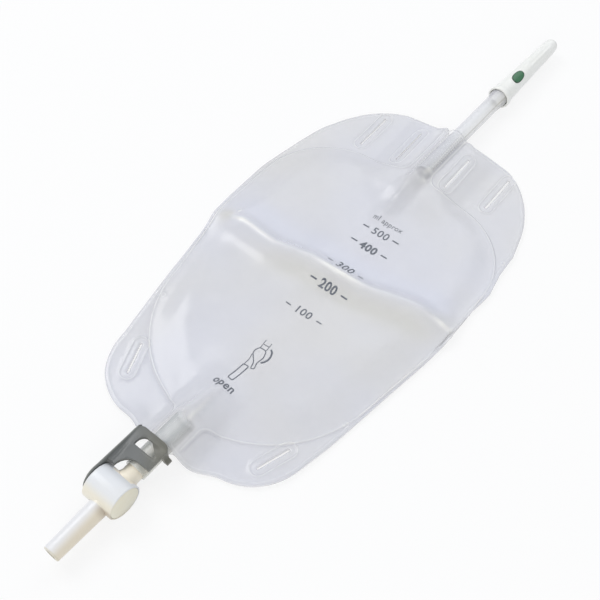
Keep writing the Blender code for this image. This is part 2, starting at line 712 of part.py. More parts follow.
def make_tap_body(material, parent):
    """Barrel, neck and spout in one moulding, bored for the spindle and for the flow."""
    left = BARREL_OFFSET - BARREL_LENGTH / 2
    right = BARREL_OFFSET + BARREL_LENGTH / 2
    barrel = [(left, 0), (left, BARREL_RADIUS - BARREL_EDGE), (left + BARREL_EDGE, BARREL_RADIUS),
              (right - BARREL_EDGE, BARREL_RADIUS), (right, BARREL_RADIUS - BARREL_EDGE), (right, 0)]
    body = add_object("tap_body", turned(barrel, BARREL_FACETS, closed=False, axis="X"), material)
    neck_radius = PORT_RADIUS - PORT_WALL - CLEARANCE
    stem = [(-SPOUT_LENGTH, 0), (-SPOUT_LENGTH, SPOUT_TIP_RADIUS - EDGE_BREAK),
            (-SPOUT_LENGTH + EDGE_BREAK, SPOUT_TIP_RADIUS), (0, SPOUT_BASE_RADIUS), (OVERSHOOT, neck_radius),
            (NECK_LENGTH - NECK_TAPER_LENGTH, neck_radius), (NECK_LENGTH, neck_radius - NECK_TAPER),
            (NECK_LENGTH, 0)]
    combine(body, add_object("stem", turned(stem, TUBE_FACETS, closed=False)), "UNION")
    bore_radius = SPINDLE_RADIUS + CLEARANCE
    head_floor = right - SPINDLE_HEAD_LENGTH - CLEARANCE
    head_radius = SPINDLE_HEAD_RADIUS + CLEARANCE
    bore = [(left - OVERSHOOT, 0), (left - OVERSHOOT, bore_radius), (head_floor, bore_radius),
            (head_floor, head_radius), (right + OVERSHOOT, head_radius), (right + OVERSHOOT, 0)]
    spindle_cutter = turned(bore, BARREL_FACETS, closed=False, axis="X")
    combine(body, add_object("spindle_cutter", spindle_cutter), "DIFFERENCE")
    flow_start = -SPOUT_LENGTH - OVERSHOOT
    flow_end = NECK_LENGTH + OVERSHOOT
    flow = [(flow_start, 0), (flow_start, FLOW_RADIUS), (flow_end, FLOW_RADIUS), (flow_end, 0)]
    combine(body, add_object("flow_cutter", turned(flow, BORE_FACETS, closed=False)), "DIFFERENCE")
    body.parent = parent
    return body


def make_spindle(material, parent):
    """Plug with a flush head, a square drive for the lever and a cross bore."""
    left = BARREL_OFFSET - BARREL_LENGTH / 2
    right = BARREL_OFFSET + BARREL_LENGTH / 2
    head = right - SPINDLE_HEAD_LENGTH
    plug = [(left, 0), (left, SPINDLE_RADIUS), (head, SPINDLE_RADIUS), (head, SPINDLE_HEAD_RADIUS),
            (right - EDGE_BREAK, SPINDLE_HEAD_RADIUS), (right, SPINDLE_HEAD_RADIUS - EDGE_BREAK), (right, 0)]
    spindle = add_object("tap_spindle", turned(plug, BARREL_FACETS, closed=False, axis="X"), material)
    drive_end = left - CLEARANCE - ARM_THICKNESS
    side = DRIVE_WIDTH / 2
    square = [Vector((drive_end, y, z)) for y, z in square_corners(side)]
    combine(spindle, add_object("drive", prism(square, (left + OVERSHOOT - drive_end, 0, 0))), "UNION")
    flow = turned([(-BARREL_RADIUS, 0), (-BARREL_RADIUS, FLOW_RADIUS), (BARREL_RADIUS, FLOW_RADIUS),
                   (BARREL_RADIUS, 0)], BORE_FACETS, closed=False)
    bmesh.ops.rotate(flow, verts=flow.verts, cent=(0, 0, 0), matrix=Matrix.Rotation(-OPEN_ANGLE, 3, "X"))
    combine(spindle, add_object("cross_bore_cutter", flow), "DIFFERENCE")
    spindle.parent = parent
    return spindle


def arm_outline():
    """Side view of the arm: an off-centre hub that narrows to a rim under the plate."""
    tip_low = PLATE_TOP - RIM_DEPTH
    hub = arc((HUB_CENTRE_Y, HUB_CENTRE_Z), HUB_RADIUS, 75, 305, 16)
    rim = [(PLATE_LOWER_EDGE, tip_low - ARM_TAPER), (PLATE_LOWER_EDGE + ARM_TAPER, tip_low - ARM_TAPER / 4),
           (PLATE_END, tip_low), (PLATE_END, PLATE_TOP - TIP_CHAMFER), (PLATE_END - TIP_CHAMFER, PLATE_TOP)]
    return rim + hub


def plate_outline(left):
    """Top view of the plate: a wide head, a concave fillet and a narrow stem to the hub."""
    stem_edge = left + STEM_WIDTH
    round_off = PLATE_CORNER_RADIUS
    stem_end = HUB_RADIUS
    outline = [(left, stem_end), (stem_edge, stem_end)]
    fillet_centre = (stem_edge + STEM_FILLET, PLATE_LOWER_EDGE - STEM_FILLET)
    outline += arc(fillet_centre, STEM_FILLET, 180, 90, 7)
    outline += [(PLATE_REACH, PLATE_LOWER_EDGE)]
    outline += arc((PLATE_REACH - round_off, PLATE_END - round_off), round_off, 0, 90, 5)
    outline += arc((left + round_off, PLATE_END - round_off), round_off, 90, 180, 5)
    return outline


def window_outline():
    """Grip window in the plate: a leaning D with its straight side falling to the right."""
    return rounded([
        (WINDOW_LEFT, WINDOW_LOW, WINDOW_CORNER_RADIUS),
        (WINDOW_LEFT, WINDOW_HIGH, WINDOW_ROUND),
        (WINDOW_PEAK, WINDOW_HIGH, 0),
        (WINDOW_RIGHT, WINDOW_LOW + WINDOW_RIGHT_HEIGHT, WINDOW_CORNER_RADIUS),
        (WINDOW_RIGHT - WINDOW_CORNER_RADIUS, WINDOW_LOW, 0),
    ], 5)


def make_lever(material, parent):
    """Arm, plate and clip leg of the lever, with its window and the square hole of its hub."""
    outer = BARREL_OFFSET - BARREL_LENGTH / 2 - CLEARANCE - ARM_THICKNESS
    arm = prism([Vector((outer, y, z)) for y, z in arm_outline()], (ARM_THICKNESS, 0, 0))
    lever = add_object("tap_lever", soften(arm, EDGE_BREAK), material)
    underside = PLATE_TOP - PLATE_THICKNESS
    plate = prism([Vector((x, y, underside)) for x, y in plate_outline(outer)], (0, 0, PLATE_THICKNESS))
    combine(lever, add_object("plate", soften(plate, EDGE_BREAK)), "UNION")
    leg_inner = PORT_RADIUS + CLEARANCE
    leg_outer = leg_inner + LEG_THICKNESS
    leg_bottom = PLATE_TOP - PLATE_THICKNESS - LEG_DEPTH
    foot_top = leg_bottom + LEG_FOOT_DEPTH
    leg_top = PLATE_TOP - LEG_ROOT
    leg = [(leg_inner, leg_bottom), (leg_outer + LEG_FOOT, leg_bottom), (leg_outer + LEG_FOOT, foot_top),
           (leg_outer, foot_top + LEG_FOOT_SLOPE), (leg_outer, leg_top), (leg_inner, leg_top)]
    leg_start = PLATE_END - LEG_INSET - LEG_WIDTH
    legs = prism([Vector((x, leg_start, z)) for x, z in leg], (0, LEG_WIDTH, 0))
    combine(lever, add_object("leg", legs), "UNION")
    window = prism([Vector((x, y, 0)) for x, y in window_outline()], (0, 0, PLATE_TOP + OVERSHOOT))
    combine(lever, add_object("window_cutter", window), "DIFFERENCE")
    side = DRIVE_WIDTH / 2 + CLEARANCE
    cut_from = outer - OVERSHOOT
    square = [Vector((cut_from, y, z)) for y, z in square_corners(side)]
    drive_cutter = prism(square, (ARM_THICKNESS + 2 * OVERSHOOT, 0, 0))
    combine(lever, add_object("drive_cutter", drive_cutter), "DIFFERENCE")
    lever.parent = parent
    return lever


def main():
    """Build the bag."""
    clear_scene()
    clear_film = make_material("clear_film", (0.80, 0.81, 0.86), 0.18, alpha=0.45)
    clear_tube = make_material("clear_tube", (0.82, 0.83, 0.86), 0.15, alpha=0.55)
    white_plastic = make_material("white_plastic", (0.86, 0.86, 0.84), 0.35)
    cap_plastic = make_material("cap_plastic", (0.84, 0.84, 0.83), 0.40)
    marker_green = make_material("marker_green", (0.045, 0.155, 0.070), 0.45)
    lever_grey = make_material("lever_grey", (0.165, 0.170, 0.155), 0.50)
    make_films(clear_film)
    make_valve(clear_film)
    inlet_line = add_empty("inlet_line", inlet_origin, -INLET_LEAN)
    make_inlet_tube(clear_tube, inlet_line)
    make_connector(white_plastic, inlet_line)
    make_cap(cap_plastic, marker_green, inlet_line)
    outlet_line = add_empty("outlet_line", tap_origin, -OUTLET_LEAN)
    make_port(clear_tube, outlet_line)
    make_tap_body(white_plastic, outlet_line)
    make_spindle(white_plastic, outlet_line)
    make_lever(lever_grey, outlet_line)


main()
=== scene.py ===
"""Looks of a leg-worn drainage bag with a lever tap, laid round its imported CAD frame.

Metres, +X across the bag, +Y towards the inlet, +Z up through the printed film.
"""

import math

import bmesh
import bpy
import numpy as np
from bpy.props import FloatProperty, FloatVectorProperty, IntProperty, PointerProperty
from mathutils import Matrix, Vector
from mathutils.geometry import delaunay_2d_cdt
from mathutils.kdtree import KDTree


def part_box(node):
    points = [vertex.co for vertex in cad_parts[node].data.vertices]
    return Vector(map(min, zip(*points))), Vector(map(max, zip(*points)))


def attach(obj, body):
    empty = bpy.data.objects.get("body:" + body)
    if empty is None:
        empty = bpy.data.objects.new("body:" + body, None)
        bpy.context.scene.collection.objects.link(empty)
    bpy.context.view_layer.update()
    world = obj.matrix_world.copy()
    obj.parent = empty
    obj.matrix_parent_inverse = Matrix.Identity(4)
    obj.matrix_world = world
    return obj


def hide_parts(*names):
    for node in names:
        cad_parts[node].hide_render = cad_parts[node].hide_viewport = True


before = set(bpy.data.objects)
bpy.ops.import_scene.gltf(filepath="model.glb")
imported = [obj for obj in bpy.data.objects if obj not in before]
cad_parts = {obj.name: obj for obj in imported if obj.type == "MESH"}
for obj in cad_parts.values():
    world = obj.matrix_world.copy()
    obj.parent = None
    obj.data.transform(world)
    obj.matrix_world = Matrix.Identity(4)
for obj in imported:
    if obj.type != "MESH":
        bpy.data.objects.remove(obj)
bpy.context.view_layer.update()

bl_info = {
    "name": "Leg Drainage Bag",
    "version": (1, 0, 0),
    "blender": (4, 5, 0),
    "location": "3D View > Sidebar > Drainage Bag",
    "description": "Builds the films, print, tubes, cap and tap of a clear leg-worn drainage bag",
    "category": "Object",
}

# Film sheets, as the CAD part has them
TAB_WIDTH = 0.017
TAB_LENGTH = 0.003
# Ears of the tab beside the tube, as (place beside it, half width, share of the tab's length)
TAB_EARS = [(-0.0078, 0.0026, 1.0), (0.0075, 0.0025, 0.35)]
FILM_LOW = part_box("back_film")[0].y + TAB_LENGTH
FILM_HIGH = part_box("back_film")[1].y - TAB_LENGTH
TOP_HALF = 0.057
BELLY_HALF = 0.0695
SHOULDER_HALF = 0.070
BOTTOM_HALF = 0.049
BELLY_Y = FILM_LOW + 0.1495
SHOULDER_Y = FILM_LOW + 0.1179
TOP_CORNER_RADIUS = 0.048
SIDE_RADIUS = 0.060
BOTTOM_CORNER_RADIUS = 0.030
EDGE_STEP = 0.0008
# Dip of the top edge and bulge of the bottom edge, as (depth, its flat half, the run to nothing)
TOP_DIP = (0.0058, 0.010, 0.024)
BOTTOM_BULGE = (0.0042, 0.010, 0.018)
TRIM_START = 0.018
TRIM_RUN = 0.010
# How far the cut edge lies inside that outline, as (height up the bag, trim), right and left of its middle
RIGHT_TRIM = [(-0.130, 0.0012), (-0.109, 0.0012), (-0.090, 0.0005), (-0.060, 0.0010), (-0.031, 0.0016),
              (-0.005, 0.0028), (0.009, 0.0026), (0.022, 0.0007), (0.035, 0.0008), (0.048, -0.0008),
              (0.061, 0.0003), (0.074, 0.0010), (0.084, 0.0010), (0.093, 0.0004), (0.100, 0.0)]
LEFT_TRIM = [(-0.130, -0.0009), (-0.121, -0.0009), (-0.112, 0.0), (-0.100, 0.0006), (-0.060, 0.0003),
             (-0.035, 0.0009), (-0.018, 0.0006), (0.030, 0.0002), (0.044, 0.0004), (0.057, 0.0013),
             (0.069, 0.0030), (0.081, 0.0028), (0.090, 0.0016), (0.097, 0.0006), (0.100, 0.0)]
SHEET_GAP = 0.0003
FILM_THICKNESS = 0.0004
WELD_HEIGHT = FILM_THICKNESS + SHEET_GAP / 2

# Pouch and the lift of the sheets to the tubes
POUCH_TOP_Y = FILM_HIGH - 0.038
POUCH_TOP_HALF = 0.0656
POUCH_SIDE_INSET = 0.0018
POUCH_HIP_Y = FILM_LOW + 0.0629
POUCH_LOWER = (0.051, FILM_LOW + 0.0299)
POUCH_TOP_RADIUS = 0.040
POUCH_LOWER_RADIUS = 0.060
POUCH_OUTLET_Y = FILM_LOW + 0.0128
RISE_LENGTH = 0.018
TENT_ROOM = 0.00065
INLET_TENT = 0.0064
VALVE_TENT_GROWTH = 0.0026
OUTLET_TENT = 0.0078
PAST_PORT_HALF = 0.0040
INLET_LIFT = (0.0090, 0.021)
CHANNEL_CORNER_DROP = 0.0040
CHANNEL_HALVES = {-1: TAB_WIDTH / 2, 1: 0.0064}
OUTLET_LIFT = (0.0045, 0.011)
LIFT_RUN = 0.034
CREASE_SPREAD = 0.0058
CREST_SPREAD = 0.0017
CREST_HEIGHT = 0.0005
CREASE_SLOPE = 0.085
CREASE_Y = FILM_LOW + 0.1140
# Fade of the crease to the sides, as (share lost, start, run)
CREASE_FADE = (0.65, 0.042, 0.026)
# Bend of the crease, and the strength of the highlight painted along its top, as (place across the bag,
# value)
CREASE_BEND = [(-0.070, 0.0), (-0.048, -0.0006), (-0.028, -0.0038), (-0.009, -0.0012), (0.006, -0.0022),
               (0.022, -0.0026), (0.045, 0.0008), (0.061, 0.0010), (0.070, 0.0008)]
CREST_SHINE = [(-0.058, 0.0), (-0.050, 1.0), (-0.045, 0.75), (-0.036, 0.7), (-0.027, 0.5), (-0.017, 0.22),
               (-0.008, 0.42), (0.0, 0.75), (0.008, 1.0), (0.015, 0.8), (0.024, 0.32), (0.040, 0.20),
               (0.054, 0.3), (0.0605, 0.9), (0.064, 0.7), (0.069, 0.0)]

# Waves as (turn across, turn along, start, share): of both films, and of the front film alone
SHARED_WAVES = [(61, 83, 0.7, 1), (-97, 57, 2.1, 1), (130, 21, 4.0, 0.7)]
FRONT_WAVES = [(118, -74, 1.2, 1), (52, 133, 0.3, 1), (171, 96, 2.6, 0.8), (-215, 180, 0, 0.5)]

# Soft folds as (start, end, half width, height, share of the height at the end)
FOLDS = [
    ((0.0010, -0.1180), (0.0011, -0.0960), 0.0020, 0.0011, 0.2),
    ((0.0030, 0.0640), (0.0012, 0.0520), 0.0024, 0.0014, 0.2),
    ((0.0085, -0.1160), (0.0300, -0.0960), 0.0030, 0.0006, 0.0),
    ((-0.0075, -0.1150), (-0.0260, -0.0900), 0.0030, 0.0007, 0.0),
    ((0.0115, 0.0660), (0.0260, 0.0420), 0.0030, 0.0007, 0.0),
    ((-0.0070, 0.0650), (-0.0240, 0.0380), 0.0034, 0.0008, 0.0),
    ((-0.0545, -0.0139), (-0.0500, 0.0060), 0.0024, 0.0012, 0.0),
    ((0.0600, -0.0030), (0.0560, -0.0260), 0.0040, 0.0008, 0.0),
]

# Narrow ridges of the front film, raised a little and painted with a highlight, as (start, end, half width,
# strength, share of it at the end)
HIGHLIGHT_RIDGES = [
    ((0.0050, -0.1190), (0.0036, -0.0960), 0.0011, 0.75, 0.15),
    ((0.0058, 0.0636), (0.0050, 0.0598), 0.0013, 0.95, 0.6),
    ((0.0066, 0.0572), (0.0052, 0.0526), 0.0019, 0.6, 0.2),
    ((-0.0560, -0.0150), (-0.0566, -0.0128), 0.0008, 0.9, 0.2),
    ((0.0060, 0.0945), (0.0058, 0.0655), 0.0007, 0.8, 0.9),
]

# Inlet line
INLET = Vector((0.0023, FILM_HIGH - 0.0365, 0.0064))
INLET_LEAN = math.radians(1.55)
TUBE_RADIUS = 0.0043
CAP_MOUTH_Y = 0.0723
FLARE_END_Y = 0.0803
CAP_LENGTH = 0.0590
CAP_SHOULDER = 0.044
CAP_CAVITY_TIP = 0.0537
CAP_MOUTH_RADIUS = 0.0058
CAP_SHOULDER_RADIUS = 0.0045
CAP_TIP_RADIUS = 0.0030
CAP_BEAD_RADIUS = 0.0064
CAP_BEAD_LENGTH = 0.0030
FLUTE_START = 0.028
FLUTE_DEPTH = 0.00020
OVAL_Y = 0.0165
OVAL_TURN = math.radians(18)
OVAL_HALF_WIDTH = 0.0029
OVAL_HALF_LENGTH = 0.0051
OVAL_SKEW = 0.12
OVAL_SQUARENESS = 0.85
FLARE_LENGTH = 0.0085
VALVE_LENGTH = 0.030
VALVE_GAP = 0.0003
VALVE_END_HALF = (0.0048, 0.00055)
VALVE_LIPS_HALF = 0.00075

# Outlet line
OUTLET = Vector((0.00055, FILM_LOW - 0.0319, 0.0082))
OUTLET_LEAN = math.radians(1.9)
PORT_RADIUS = 0.0052
PORT_START_Y = 0.0125
PORT_END_Y = 0.0427
PORT_BORE = 0.0046
BARREL_RADIUS = 0.0083
BARREL_EDGE = 0.00045
BARREL_LEFT = -0.00925
BARREL_RIGHT = 0.00695
HEAD_BORE = 0.00765
HEAD_DEPTH = 0.0015
SPINDLE_BORE = 0.0061
SPOUT_END_Y = -0.0331
SPOUT_TIP_RADIUS = 0.0040
SPOUT_TAPER = 0.00052
NECK_RADIUS = 0.0043
NECK_END_Y = 0.0245
FLOW_RADIUS = 0.0026
LEVER_TOP = 0.0073

# Where the film's net has all its points: half width and lower or upper end beside each tube, half width
# along the crease
INLET_FINE = (0.0095, INLET.y - 0.022)
OUTLET_FINE = (0.0105, OUTLET.y + PORT_END_Y + 0.020)
CREASE_FINE = 0.009

# Weld lines as (half width, height in beads, painted shade: a painted highlight above 0, painted shade below
# 0), and the places of the weld spots
EDGE_BEAD = (0.0007, 0.45, 0.45)
WELD_GROOVE = (0.0005, -0.25, -0.9)
WELD_BEAD = (0.0007, 0.7, 0.6)
SLIT_BEAD = (0.0007, 0.8, 0.55)
SLIT_GROOVE = (0.0005, -0.2, -0.5)
SPOT_BEAD = (0.0009, 0.5, 0.4)
SPOTS = [(-0.064, 0.0413), (0.064, 0.0413), (0.0552, -0.0758), (-0.0538, -0.0740)]

# Strap slits: the upper ones as (place, opening), and what the two lower ones share
UPPER_SLITS = [((-0.0378, 0.0764), 0.0010), ((-0.0146, 0.0756), 0.0010), ((0.0166, 0.0737), 0.0009),
               ((0.0388, 0.0786), 0.0012)]
UPPER_SLIT_LENGTH = 0.024
LOWER_SLIT_OFFSET = 0.0405
LOWER_SLIT_Y = FILM_LOW + 0.0219
LOWER_SLIT_LENGTH = 0.0165
LOWER_SLIT_TILT = math.radians(20)
LOWER_SLIT_OPENING = 0.0011
SLIT_BEAD_LENGTH = 0.0065
SLIT_BEAD_WIDTH = 0.0078
SLIT_GROOVE_INSET = 0.0022

# Print on the front film: words with their ends, base, share of the digits' height and boldness
CAPITAL_HEIGHT = 0.70
MARKS = [("ml approx", (-0.0012, 0.0157), 0.0232, 0.74, 0.003),
         ("500", (0.0034, 0.0127), 0.0150, 1.0, 0.010),
         ("400", (0.0036, 0.0131), 0.0041, 1.0, 0.035),
         ("300", (0.0029, 0.0120), -0.0138, 1.12, 0.010),
         ("200", (0.0024, 0.0117), -0.0268, 1.0, 0.028),
         ("100", (0.0026, 0.0108), -0.0446, 0.92, 0.012),
         ("open", (-0.0020, 0.0087), -0.0974, 0.98, 0.020)]
# Dashes: middles left and right of the digits, height up the bag and share of the full size
DASHES = [(-0.0007, 0.0168, 0.0172, 1.0), (-0.0002, 0.0174, 0.0063, 1.0), (-0.0012, 0.0166, -0.0118, 0.8),
          (-0.0016, 0.0163, -0.0247, 1.0), (-0.0024, 0.0155, -0.0431, 0.8)]

# Sizes of the dashes, the sign's pen and the ink's skin, and the longest edge of its net
DASH_HALF = 0.0018
DASH_WIDTH = 0.00075
SIGN_PEN = 0.00048
PEN_STEP = 0.0006
PRINT_EDGE = 0.0014
PRINT_LIFT = 0.00003
INK_THICKNESS = 0.00005

# Photograph's camera
CAMERA_PLACE = Vector((0.1481, -0.22742, 0.3527))
CAMERA_TARGET = Vector((-0.0015, -0.03542, 0.0))
CAMERA_LENS = 54.0

# Studio lamps as (name, place, width, power, colour), and the floor
LAMPS = [("key", (-1.60, 0.10, 1.90), 1.30, 21.0, (1.0, 0.99, 0.97)),
         ("back", (-0.40, 1.70, 1.60), 1.60, 9.0, (0.95, 0.97, 1.0)),
         ("front", (1.00, -1.90, 1.30), 1.60, 19.0, (1.0, 0.95, 0.86))]
FLOOR_HALF = 6.0
FLOOR_Z = -0.0005


def metres(name, description, default, low, high):
    """A size in metres that a user may change."""
    return FloatProperty(name=name, description=description, default=default, min=low, max=high,
                         unit="LENGTH", precision=5)


def tint(name, description, default):
    """A colour that a user may change."""
    return FloatVectorProperty(name=name, description=description, subtype="COLOR", size=3,
                               default=default, min=0, max=1)


class BagSizes(bpy.types.PropertyGroup):
    """Sizes that shape the films and the trim of the moulded pieces."""

    bead: metres("Weld bead", "Height of the embossed weld beads", 0.00042, 0, 0.001)
    wave: metres("Film wave", "Height of the slow waves of the loose film", 0.0007, 0, 0.003)
    crease: metres("Crease", "Height of the fold across the bag", 0.0052, 0, 0.008)
    pouch: metres("Pouch", "How far the front film stands off the back film", 0.0040, 0, 0.02)
    net: metres("Film net", "Distance between the points of the flat film", 0.0019, 0.001, 0.004)
    digit: metres("Digit height", "Height of the scale's digits", 0.0043, 0.002, 0.01)
    flutes: IntProperty(name="Flutes", description="Grip flutes round the cap", default=12, min=4, max=24)
    rounding: metres("Rounding", "Round-over of the moulded edges", 0.00035, 0.0001, 0.0006)


class BagColours(bpy.types.PropertyGroup):
    """Colours of the finishes."""

    film: tint("Film", "Clear film", (0.695, 0.695, 0.765))
    tube: tint("Tube", "Soft clear tube", (0.84, 0.85, 0.87))
    plastic: tint("Tap plastic", "Ivory white tap moulding", (0.85, 0.84, 0.79))
    cap: tint("Cap plastic", "White cap moulding", (0.87, 0.87, 0.85))
    marker: tint("Marker", "Green oval on the cap", (0.030, 0.125, 0.055))
    lever: tint("Lever", "Grey lever moulding", (0.150, 0.155, 0.142))
    ink: tint("Ink", "Dark slate print", (0.10, 0.11, 0.135))


class BagSettings(bpy.types.PropertyGroup):
    """Everything that a user would change."""

    sizes: PointerProperty(type=BagSizes)
    colours: PointerProperty(type=BagColours)


class Value:
    """A socket that takes part in sums: each sum adds its Math node."""

    def __init__(self, finish, socket):
        self.finish = finish
        self.socket = socket

    def sum(self, operation, *values):
        node_values = dict(enumerate(values))
        return self.finish.node("ShaderNodeMath", {"operation": operation}, node_values)

    def __add__(self, other):
        return self.sum("ADD", self, other)

    def __sub__(self, other):
        return self.sum("SUBTRACT", self, other)

    def __mul__(self, other):
        return self.sum("MULTIPLY", self, other)

    def __rsub__(self, other):
        return self.sum("SUBTRACT", other, self)

    __radd__ = __add__
    __rmul__ = __mul__

    def over(self, low, high):
        """Eased from 0 at low to 1 at high."""
        settings = {"interpolation_type": "SMOOTHSTEP"}
        return self.finish.node("ShaderNodeMapRange", settings, {"Value": self, 1: low, 2: high})


class Nodes:
    """A node tree and the one way to add a node to it."""

    def __init__(self, tree):
        self.tree = tree

    def node(self, kind, settings=None, values=None, output=0):
        """Any node, from its type, its settings and what its sockets get."""
        made = self.tree.nodes.new(kind)
        for name, value in (settings or {}).items():
            if name == "stops":
                ramp = made.color_ramp
                while len(ramp.elements) < len(value):
                    ramp.elements.new(0.5)
                for element, (place, colour) in zip(ramp.elements, value):
                    element.position = place
                    element.color = (*colour, 1.0)
            else:
                setattr(made, name, value)
        for name, value in (values or {}).items():
            self.feed(made.inputs[name], value)
        return Value(self, made.outputs[output])

    def feed(self, socket, value):
        if isinstance(value, Value):
            self.tree.links.new(value.socket, socket)
        elif isinstance(value, tuple) and len(value) == 3 and socket.type == "RGBA":
            socket.default_value = (*value, 1.0)
        else:
            socket.default_value = value

    def seen_directly(self):
        """1 for rays that show the background: the camera's, and those through gloss or glass."""
        rays = [self.node("ShaderNodeLightPath", output=name)
                for name in ("Is Camera Ray", "Is Glossy Ray", "Is Transmission Ray")]
        total = rays[0] + rays[1] + rays[2]
        return total.sum("MINIMUM", total, 1.0)


class Finish(Nodes):
    """The node tree of one material."""

    def __init__(self, name, **constants):
        self.material = bpy.data.materials.new(name)
        self.material.use_nodes = True
        super().__init__(self.material.node_tree)
        self.shader = self.tree.nodes["Principled BSDF"]
        for socket, value in constants.items():
            self.shader.inputs[socket.replace("_", " ")].default_value = value

    def place(self):
        """Place on the piece, in metres."""
        return self.node("ShaderNodeTexCoord", output="Object")

    def noise(self, scale, detail=3.0, roughness=0.5, stretch=(1, 1, 1), turn=0.0):
        """Smooth grain, its scale in grains per metre."""
        place = self.node("ShaderNodeMapping", None, {"Vector": self.place(), "Scale": stretch,
                                                      "Rotation": (0, 0, turn)})
        return self.node("ShaderNodeTexNoise", None, {"Vector": place, "Scale": scale, "Detail": detail,
                                                      "Roughness": roughness})

    def across(self, centre, direction):
        """Distance from a place along a direction, in metres."""
        off = self.node("ShaderNodeVectorMath", {"operation": "SUBTRACT"}, {0: self.place(), 1: centre})
        return self.node("ShaderNodeVectorMath", {"operation": "DOT_PRODUCT"}, {0: off, 1: direction},
                         output="Value")

    def attribute(self, name):
        return self.node("ShaderNodeAttribute", {"attribute_name": name}, output="Fac")

    def mix(self, share, first, second):
        """One colour turning into another."""
        return self.node("ShaderNodeMix", {"data_type": "RGBA"}, {0: share, 6: first, 7: second}, output=2)

    def height(self, *layers):
        """Bumps one over the other, each as (height value, distance in metres, strength)."""
        normal = None
        for value, distance, strength in layers:
            values = {"Height": value, "Distance": distance, "Strength": strength}
            if normal:
                values["Normal"] = normal
            normal = self.node("ShaderNodeBump", None, values)
        self.paint(Normal=normal)

    def mould_grain(self, cloud, grain, slow):
        """Fine grain of a mould over its slow unevenness."""
        self.height((self.noise(2600, 2, 0.6), grain, 0.6), (cloud, 0.0002, slow))

    def paint(self, **values):
        for name, value in values.items():
            self.feed(self.shader.inputs[name.replace("_", " ")], value)


def linked(name, data):
    """An object of the scene from its data."""
    obj = bpy.data.objects.new(name, data)
    bpy.context.scene.collection.objects.link(obj)
    return obj


def bmesh_from(mesh):
    bm = bmesh.new()
    bm.from_mesh(mesh)
    return bm


def mesh_from(bm, name):
    """A bmesh as a mesh; the bmesh is freed."""
    mesh = bpy.data.meshes.new(name)
    bm.to_mesh(mesh)
    bm.free()
    return mesh


def evaluated(obj):
    """An object's mesh with its modifiers, or a text's as faces."""
    return bpy.data.meshes.new_from_object(obj.evaluated_get(bpy.context.evaluated_depsgraph_get()))


def append(bm, part):
    """Put one bmesh into another."""
    mesh = mesh_from(part, "part")
    bm.from_mesh(mesh)
    bpy.data.meshes.remove(mesh)


def skin(bm, loops):
    """Faces between loops of as many points each."""
    for near, far in zip(loops, loops[1:]):
        for index in range(len(near)):
            after = (index + 1) % len(near)
            bm.faces.new((near[index], near[after], far[after], far[index]))


def tinted(colour, share):
    """A colour made darker or lighter by a share."""
    return tuple(min(1.0, channel * share) for channel in colour)


def shaded(colour, toward, share):
    """A colour moved a share of the way to another."""
    return tuple(a + (b - a) * share for a, b in zip(colour, toward))


def sizes():
    return bpy.context.scene.drain_bag.sizes


def colours():
    return bpy.context.scene.drain_bag.colours


def ease(value):
    """From 0 to 1 as the value goes from 0 to 1, soft at both ends."""
    value = np.clip(value, 0.0, 1.0)
    return value * value * (3 - 2 * value)


def bell(value):
    return np.exp(-np.square(value))


def rounded(corners, count=10, closed=True):
    """Points along a polygon with round corners, from (x, y, radius) corners."""
    points = []
    last = len(corners) - 1
    for index, (x, y, radius) in enumerate(corners):
        here = Vector((x, y))
        if radius == 0 or (not closed and index in (0, last)):
            points.append(here)
            continue
        back = (Vector(corners[index - 1][:2]) - here).normalized()
        ahead = (Vector(corners[(index + 1) % len(corners)][:2]) - here).normalized()
        half_turn = (math.pi - back.angle(ahead)) / 2
        middle = here + (back + ahead).normalized() * radius / math.cos(half_turn)
        first = here + back * radius * math.tan(half_turn) - middle
        end = here + ahead * radius * math.tan(half_turn) - middle
        sweep = first.angle_signed(end)
        for step in range(count + 1):
            points.append(middle + Matrix.Rotation(-sweep * step / count, 2) @ first)
    return np.array([tuple(point) for point in points])


def stepped(line, step, closed=True):
    """The same line with a point at every step."""
    ends = np.vstack([line, line[:1]]) if closed else line
    lengths = np.hypot(*np.diff(ends, axis=0).T)
    total = np.concatenate([[0], np.cumsum(lengths)])
    count = max(int(round(total[-1] / step)), 2)
    places = np.linspace(0, total[-1], count + 1)
    if closed:
        places = places[:-1]
    return np.column_stack([np.interp(places, total, ends[:, axis]) for axis in (0, 1)])


def beside(line, distance, closed=True):
    """A line parallel to another, at a distance to its left."""
    if closed:
        along = np.roll(line, -1, axis=0) - np.roll(line, 1, axis=0)
    else:
        along = np.gradient(line, axis=0)
    along /= np.maximum(np.hypot(*along.T), 1e-12)[:, None]
    return line + distance * np.column_stack([-along[:, 1], along[:, 0]])


def capsule(centre, length, width, tilt, count=8):
    """Closed outline of a slit with round ends, counter-clockwise."""
    radius = width / 2
    straight = length / 2 - radius
    angles = np.linspace(0, math.pi, count + 1)
    top = np.column_stack([radius * np.cos(angles), straight + radius * np.sin(angles)])
    points = np.vstack([top, -top])
    turn = np.array([[math.cos(tilt), -math.sin(tilt)], [math.sin(tilt), math.cos(tilt)]])
    return points @ turn.T + np.array(centre)


def mirrored(corners):
    return corners + [(-x, y, radius) for x, y, radius in reversed(corners)]


def inlet_x(y):
    return INLET.x + (y - INLET.y) * math.tan(INLET_LEAN)


def outlet_x(y):
    return OUTLET.x + (y - OUTLET.y) * math.tan(OUTLET_LEAN)


def side_half(y):
    """Half the film's width below its shoulders, before its corners are rounded."""
    return SHOULDER_HALF + (BOTTOM_HALF - SHOULDER_HALF) * (SHOULDER_Y - y) / (SHOULDER_Y - FILM_LOW)


def near_middle(off, depth, flat_half, run):
    """A depth that is whole near a line and eases to nothing beside it."""
    return depth * (1 - ease((np.abs(off) - flat_half) / run))


def near_side(off, share, start, run):
    """A share that eases in from a distance beside a line."""
    return share * ease((np.abs(off) - start) / run)


